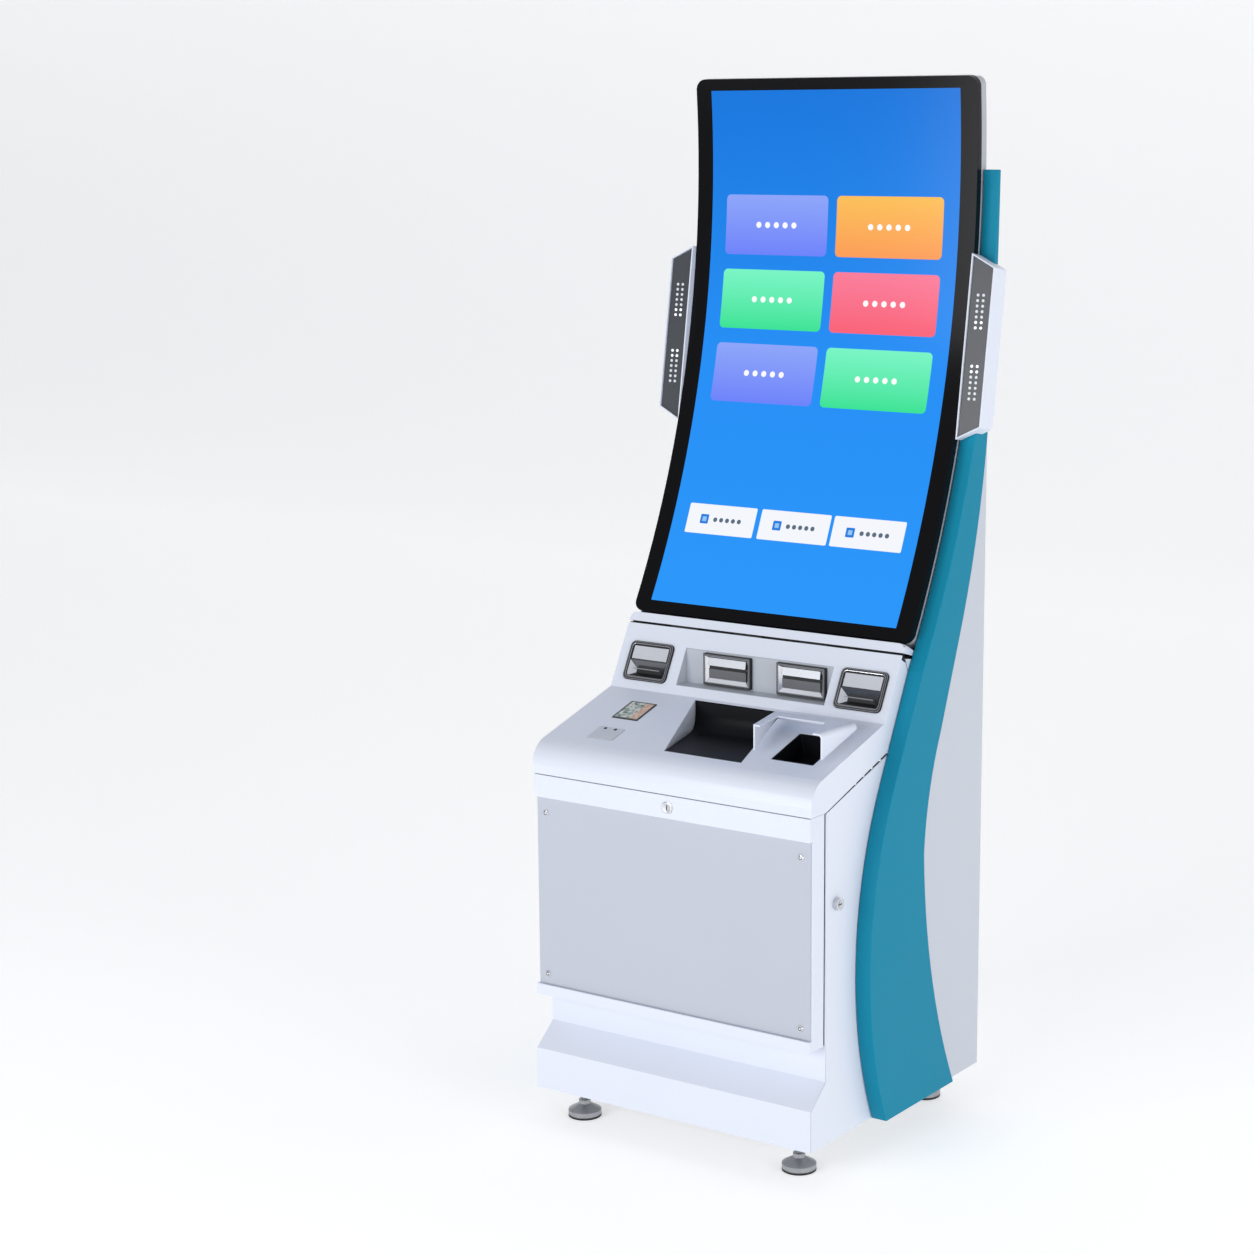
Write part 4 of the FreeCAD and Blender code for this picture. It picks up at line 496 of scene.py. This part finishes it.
plate_moulding = coated("light grey moulding", (0.60, 0.63, 0.68, 1), 0.5, grain=0.5 * MM)
dress(plate_moulding, "reader_plastic", "contactless_plate")
fold(1.0 * MM, "contactless_plate")
plate_low, plate_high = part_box("contactless_plate")
slope = math.radians(16.3)
mark_radius, mark_top = 3.2 * MM, 0.45 * MM
for number, offset in ((1, -12 * MM), (2, 10 * MM)):
    centre = ((plate_low.x + plate_high.x) / 2 + offset, plate_high.y - 7.5 * MM, plate_high.z - 1.6 * MM)
    rings = [(mark_radius, -0.4 * MM, 0), (mark_radius, mark_top, 0), (0, mark_top, 0)]
    upward = (0, -math.sin(slope), math.cos(slope))
    mark = turned(f"plate_mark_{number}", rings, centre, upward, [keyway_black])
    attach(mark, "console_hood")

# ------------------------------------------------------------------ display
# The display is a curved glass bonded to a black bezel; the lit picture shows
# six tiles, three cards and rows of plain dots, and no lettering.


def shade(red, green, blue):
    """A screen colour in 0-255 steps as light values."""
    values = [c / 255 for c in (red, green, blue)]
    return tuple(v / 12.92 if v <= 0.04045 else ((v + 0.055) / 1.055) ** 2.4 for v in values) + (1.0,)


glass_low, glass_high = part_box("display_glass")
glass_radius = 1.650
axis_y = glass_high.y - glass_radius - 3 * MM
axis_z = glass_low.z + (glass_radius + 3 * MM) * math.sin(math.radians(29.88))
lit_half, lit_high, lit_low_angle = 0.2645, 0.9665, math.radians(-29.08)

pane, lit_in, lit_out = effect(
    "rounded area", [("Across", "Float", 0.0), ("Up", "Float", 0.0), ("Centre across", "Float", 0.0),
                     ("Centre up", "Float", 0.0), ("Half wide", "Float", 0.1), ("Half high", "Float", 0.1),
                     ("Corner", "Float", 0.01)],
    [("Inside", "Float"), ("Rise", "Float")])
part_across = maths(pane, "SUBTRACT", lit_in["Across"], lit_in["Centre across"])
part_up = maths(pane, "SUBTRACT", lit_in["Up"], lit_in["Centre up"])
over = []
for part, half in ((part_across, "Half wide"), (part_up, "Half high")):
    reach = maths(pane, "SUBTRACT", lit_in[half], lit_in["Corner"])
    over.append(maths(pane, "MAXIMUM", maths(pane, "SUBTRACT", maths(pane, "ABSOLUTE", part), reach), 0.0))
distance = maths(pane, "SQRT", maths(pane, "ADD", maths(pane, "MULTIPLY", over[0], over[0]),
                                     maths(pane, "MULTIPLY", over[1], over[1])))
pane.links.new(maths(pane, "LESS_THAN", distance, lit_in["Corner"]), lit_out["Inside"])
rise = maths(pane, "MULTIPLY_ADD", maths(pane, "DIVIDE", part_up, lit_in["Half high"]), 0.5, 0.5)
pane.links.new(rise, lit_out["Rise"])

dots, dot_in, dot_out = effect(
    "row of dots", [("Across", "Float", 0.0), ("Up", "Float", 0.0), ("Centre across", "Float", 0.0),
                    ("Centre up", "Float", 0.0), ("Pitch", "Float", 0.02), ("Radius", "Float", 0.005)],
    [("Inside", "Float")])
part_across = maths(dots, "SUBTRACT", dot_in["Across"], dot_in["Centre across"])
part_up = maths(dots, "SUBTRACT", dot_in["Up"], dot_in["Centre up"])
nearest = maths(dots, "ROUND", maths(dots, "DIVIDE", part_across, dot_in["Pitch"]))
nearest = maths(dots, "MINIMUM", maths(dots, "MAXIMUM", nearest, -2.0), 2.0)
part_across = maths(dots, "SUBTRACT", part_across, maths(dots, "MULTIPLY", nearest, dot_in["Pitch"]))
distance = maths(dots, "SQRT", maths(dots, "ADD", maths(dots, "MULTIPLY", part_across, part_across),
                                     maths(dots, "MULTIPLY", part_up, part_up)))
dots.links.new(maths(dots, "LESS_THAN", distance, dot_in["Radius"]), dot_out["Inside"])

picture, lit_tree, lit_shader = finish("lit display glass", Roughness=0.14, Specular_IOR_Level=0.12,
                                       Base_Color=(0.004, 0.004, 0.005, 1))
spot = put(lit_tree, "SeparateXYZ", {"Vector": put(lit_tree, "TexCoord").outputs["Object"]}).outputs
angle = maths(lit_tree, "ARCTAN2", maths(lit_tree, "SUBTRACT", spot["Z"], axis_z),
              maths(lit_tree, "SUBTRACT", spot["Y"], axis_y))
up = maths(lit_tree, "MULTIPLY", maths(lit_tree, "SUBTRACT", angle, lit_low_angle), glass_radius)
across = spot["X"]
share = maths(lit_tree, "DIVIDE", up, lit_high)
ramp = put(lit_tree, "ValToRGB", {"Fac": share})
ramp.color_ramp.elements[0].color = shade(38, 152, 253)
ramp.color_ramp.elements[1].color = shade(8, 119, 223)
ramp.color_ramp.elements.new(0.5).color = shade(30, 143, 248)
canvas = ramp.outputs[0]
violet = (shade(110, 131, 253), shade(143, 167, 252))
orange = (shade(254, 157, 85), shade(254, 194, 87))
green = (shade(56, 229, 150), shade(122, 248, 199))
pink = (shade(252, 97, 119), shade(253, 126, 156))
tiles = [(-0.1205, 0.722, violet), (0.1215, 0.722, orange), (-0.1205, 0.5847, green),
         (0.1215, 0.5847, pink), (-0.1205, 0.4469, violet), (0.1215, 0.4469, green)]
for centre, level, (low_tone, high_tone) in tiles:
    area = use(lit_tree, pane, Across=across, Up=up, Centre_across=centre, Centre_up=level,
               Half_wide=0.1115, Half_high=0.055, Corner=0.009)
    canvas = mixed(lit_tree, area["Inside"], canvas, mixed(lit_tree, area["Rise"], low_tone, high_tone))
    row = use(lit_tree, dots, Across=across, Up=up, Centre_across=centre, Centre_up=level,
              Pitch=0.0193, Radius=0.0056)
    canvas = mixed(lit_tree, row["Inside"], canvas, (1, 1, 1, 1))
for centre in (-0.1568, 0.0039, 0.1609):
    area = use(lit_tree, pane, Across=across, Up=up, Centre_across=centre, Centre_up=0.166,
               Half_wide=0.075, Half_high=0.0285, Corner=0.003)
    canvas = mixed(lit_tree, area["Inside"], canvas, (0.93, 0.95, 1, 1))
    badge = use(lit_tree, pane, Across=across, Up=up, Centre_across=centre - 0.037, Centre_up=0.166,
                Half_wide=0.009, Half_high=0.009, Corner=0.002)
    canvas = mixed(lit_tree, badge["Inside"], canvas, shade(30, 125, 225))
    heart = use(lit_tree, pane, Across=across, Up=up, Centre_across=centre - 0.037, Centre_up=0.166,
                Half_wide=0.0045, Half_high=0.0045, Corner=0.001)
    canvas = mixed(lit_tree, heart["Inside"], canvas, shade(150, 200, 245))
    row = use(lit_tree, dots, Across=across, Up=up, Centre_across=centre + 0.0136, Centre_up=0.166,
              Pitch=0.0132, Radius=0.0044)
    canvas = mixed(lit_tree, row["Inside"], canvas, shade(92, 108, 128))
lit = use(lit_tree, pane, Across=across, Up=up, Centre_across=0.0, Centre_up=lit_high / 2,
          Half_wide=lit_half, Half_high=lit_high / 2, Corner=0.001)["Inside"]
lit_tree.links.new(mixed(lit_tree, lit, (0, 0, 0, 1), canvas), lit_shader.inputs["Emission Color"])
lit_shader.inputs["Emission Strength"].default_value = 0.97
dress(picture, "display_glass", "display_glass")

gloss_black = coated("gloss black bezel", (0.004, 0.004, 0.005, 1), 0.3, Specular_IOR_Level=0.15)
rear_coat = coated("dark grey coat", (0.12, 0.125, 0.135, 1), 0.45, grain=1.1 * MM, depth=0.06 * MM)
frosted = coated("frosted acrylic", (0.50, 0.52, 0.56, 1), 0.3, Transmission_Weight=0.15)
module_tin = coated("panel module tin", (0.33, 0.34, 0.36, 1), 0.35, Metallic=0.8)
dress(gloss_black, "black_plastic", "bezel_frame")
dress(rear_coat, "dark_shell", "display_rear_shell", "display_electronics_box")
dress(frosted, "clear_acrylic", "light_band")
dress(module_tin, "screen_module", "lcd_panel")
fold(1.2 * MM, "display_rear_shell", "display_electronics_box")
dress(chrome, "bright_metal", "display_rear_screws")

# ------------------------------------------------------------------- lamps
# Each lamp is a white trapezium housing round a dark lens plate with two
# clusters of small diodes; the rows nearest the lamp's middle glow brightest.

dress(white_coat, "white_paint", "lamp_housing_left", "lamp_housing_right")
fold(0.9 * MM, "lamp_housing_left", "lamp_housing_right")
lens_plate = coated("dark lens plate", (0.055, 0.06, 0.068, 1), 0.25)
dress(lens_plate, "black_plastic", "lamp_face_left", "lamp_face_right")
led_low, led_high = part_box("lamp_leds")
diode, diode_tree, diode_shader = finish("lit diode", Roughness=0.3, Base_Color=(0.6, 0.63, 0.66, 1))
spot = put(diode_tree, "SeparateXYZ", {"Vector": put(diode_tree, "TexCoord").outputs["Object"]}).outputs
level = spot["Z"]
away = maths(diode_tree, "ABSOLUTE", maths(diode_tree, "SUBTRACT", level, (led_low.z + led_high.z) / 2))
glow = maths(diode_tree, "MULTIPLY_ADD", maths(diode_tree, "LESS_THAN", away, 50 * MM), 0.5, 0.12)
diode_shader.inputs["Emission Color"].default_value = (0.85, 0.92, 1.0, 1)
diode_tree.links.new(glow, diode_shader.inputs["Emission Strength"])
dress(diode, "lamp_led", "lamp_leds")

# ------------------------------------------------------------------- locks
# Three quarter-turn cam locks: a satin barrel with a raised chromed ring and a
# black keyway on its face, and a flat cam on the inside.

for node_name, facing in (("band_lock", (0, -1, 0)), ("side_lock", (1, 0, 0)), ("rear_lock", (0, 1, 0))):
    dress(satin_chrome, "bright_metal", node_name)
    nose = Vector(facing)
    tips = [v.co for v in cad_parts[node_name].data.vertices]
    front = max(corner.dot(nose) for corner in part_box(node_name))
    face_tips = [tip for tip in tips if tip.dot(nose) > front - 0.05 * MM]
    middle = [(min(t[k] for t in face_tips) + max(t[k] for t in face_tips)) / 2 for k in range(3)]
    radius = max((tip - Vector(middle)).length for tip in face_tips)
    rings = [(radius * 0.98, 0, 0), (radius * 0.9, 0.35 * MM, 0), (radius * 0.72, 0.35 * MM, 0),
             (radius * 0.66, 0.05 * MM, 1), (0, 0.05 * MM, 1)]
    face = turned(node_name + "_face", rings, middle, facing, [chrome, satin_chrome])
    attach(sharp(face), node_name)
    mesh = bmesh.new()
    block(mesh, (-0.9 * MM, -radius * 0.45, 0), (0.9 * MM, radius * 0.45, 0.3 * MM), 0,
          Matrix.Translation(middle) @ Vector((0, 0, 1)).rotation_difference(nose).to_matrix().to_4x4())
    slit = made(node_name + "_keyway", mesh, [keyway_black])
    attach(slit, node_name)

# ---------------------------------------------------------- levelling feet
# Each foot is turned from plated steel: a rubber-soled disc, a groove, a cone,
# a plain collar and a threaded stem.

foot_zinc = metal("turned zinc plate", (0.42, 0.43, 0.45, 1), 0.3)
rubber = coated("black rubber", (0.015, 0.015, 0.016, 1), 0.75)
thread_root, thread_crest, thread_pitch = 5.2 * MM, 6 * MM, 1.6 * MM
for corner in ("front_left", "front_right", "rear_left", "rear_right"):
    node_name = "levelling_foot_" + corner
    low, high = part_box(node_name)
    wide, tall = (high.x - low.x) / 2, high.z - low.z
    centre = ((low.x + high.x) / 2, (low.y + high.y) / 2, low.z)
    rings = [(0, 0, 1), (wide - 1 * MM, 0, 1), (wide, 0.8 * MM, 1), (wide, 4 * MM, 1),
             (wide - 0.8 * MM, 4.2 * MM, 0), (wide - 0.8 * MM, 5 * MM, 0), (wide, 5.4 * MM, 0),
             (wide, 13 * MM, 0), (wide - 1 * MM, 14 * MM, 0), (13 * MM, 23 * MM, 0),
             (11 * MM, 24 * MM, 0), (11 * MM, 31 * MM, 0), (10 * MM, 32 * MM, 0),
             (thread_crest, 32 * MM, 0)]
    height = 33 * MM
    while height < tall - 2 * MM:
        rings += [(thread_root, height, 0), (thread_crest, height + thread_pitch / 2, 0)]
        height += thread_pitch
    rings += [(thread_root, tall - 0.2 * MM, 0), (0, tall, 0)]
    foot = turned(node_name + "_turned", rings, centre, (0, 0, 1), [foot_zinc, rubber], steps=36)
    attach(sharp(foot, 30), node_name)
    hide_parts(node_name)

# ----------------------------------------------------------------- rear door
# The rear service door is a louvred sheet on a chromed barrel hinge like the
# front door's; the mains inlet above it is a black moulding.

dress(white_coat, "white_paint", "rear_door")
fold(0.8 * MM, "rear_door")
dress(chrome, "bright_metal", "front_hinge", "rear_hinge")
dress(black_moulding, "module_plastic", "mains_inlet")

# ------------------------------------------------------------ inside modules
# The bought-in modules: dark moulded transports behind the bezels, a hopper in
# the same moulding, blue note cassettes, and sheet cases for the computer and
# its supply.

transport_grey = coated("transport moulding", (0.045, 0.048, 0.055, 1), 0.5)
cassette_blue = coated("cassette moulding", (0.07, 0.11, 0.2, 1), 0.45)
case_tin = coated("case sheet", (0.30, 0.31, 0.33, 1), 0.38, Metallic=0.7)
dress(transport_grey, "module_plastic", "card_reader", "note_acceptor", "receipt_printer", "coin_hopper")
dress(cassette_blue, "module_plastic", "cash_cassettes")
dress(case_tin, "module_plastic", "control_computer", "power_supply")

# ------------------------------------------------------------------ stage
# A pale paper sweep runs under and behind the machine. Two softboxes and a dim
# even sky light it, and the camera stands front right at a person's height.

floor_size = 30.0
sweep_start, sweep_radius, sweep_top, sweep_steps = 5.0, 3.0, 20.0, 12
mesh = bmesh.new()
profile = [(-floor_size / 2, 0.0), (sweep_start, 0.0)]
for step in range(1, sweep_steps + 1):
    turn = math.pi / 2 * step / sweep_steps
    along, rise = sweep_radius * math.sin(turn), sweep_radius * math.cos(turn)
    profile.append((sweep_start + along, sweep_radius - rise))
profile.append((sweep_start + sweep_radius, sweep_top))
rows = [[mesh.verts.new((x, y, z)) for x in (-floor_size, floor_size)] for y, z in profile]
for near, far in zip(rows, rows[1:]):
    mesh.faces.new((near[0], near[1], far[1], far[0])).smooth = True
paper, _, _ = finish("studio paper", Roughness=0.9, Base_Color=(0.80, 0.80, 0.80, 1),
                     Emission_Color=(1, 1, 1, 1), Emission_Strength=0.41)
studio_floor = made("studio_floor", mesh, [paper])

world = bpy.data.worlds.new("studio")
bpy.context.scene.world = world
world.use_nodes = True
world.node_tree.nodes["Background"].inputs["Color"].default_value = (0.92, 0.94, 1.0, 1)
world.node_tree.nodes["Background"].inputs["Strength"].default_value = 0.40


def softbox(name, spot, aim, width, height, power, colour=(1, 1, 1)):
    """A rectangular studio light."""
    light = bpy.data.lights.new(name, "AREA")
    light.shape = "RECTANGLE"
    light.size, light.size_y = width, height
    light.energy = power
    light.color = colour
    lamp = bpy.data.objects.new(name, light)
    lamp.location = spot
    lamp.rotation_euler = (Vector(aim) - Vector(spot)).to_track_quat("-Z", "Y").to_euler()
    bpy.context.scene.collection.objects.link(lamp)


softbox("front_softbox", (-0.8, -5.3, 1.9), (0, 0, 1.0), 4.0, 2.2, 135, (0.98, 0.985, 1.0))
softbox("side_softbox", (5.5, -1.2, 1.5), (0, 0, 1.0), 3.0, 2.4, 95, (0.98, 0.985, 1.0))

camera_data = bpy.data.cameras.new("studio_camera")
camera_data.lens = 75.02
camera_data.sensor_width = 36.0
camera_data.shift_x = -0.10247
camera_data.shift_y = 0.01024
camera_data.clip_end = 60.0
camera = bpy.data.objects.new("studio_camera", camera_data)
camera.location = (2.5521, -3.8533, 1.7612)
camera.rotation_euler = (math.radians(90 - 10.805), 0, math.radians(33.596))
bpy.context.scene.collection.objects.link(camera)
bpy.context.scene.camera = camera
bpy.context.scene.view_settings.view_transform = "Standard"
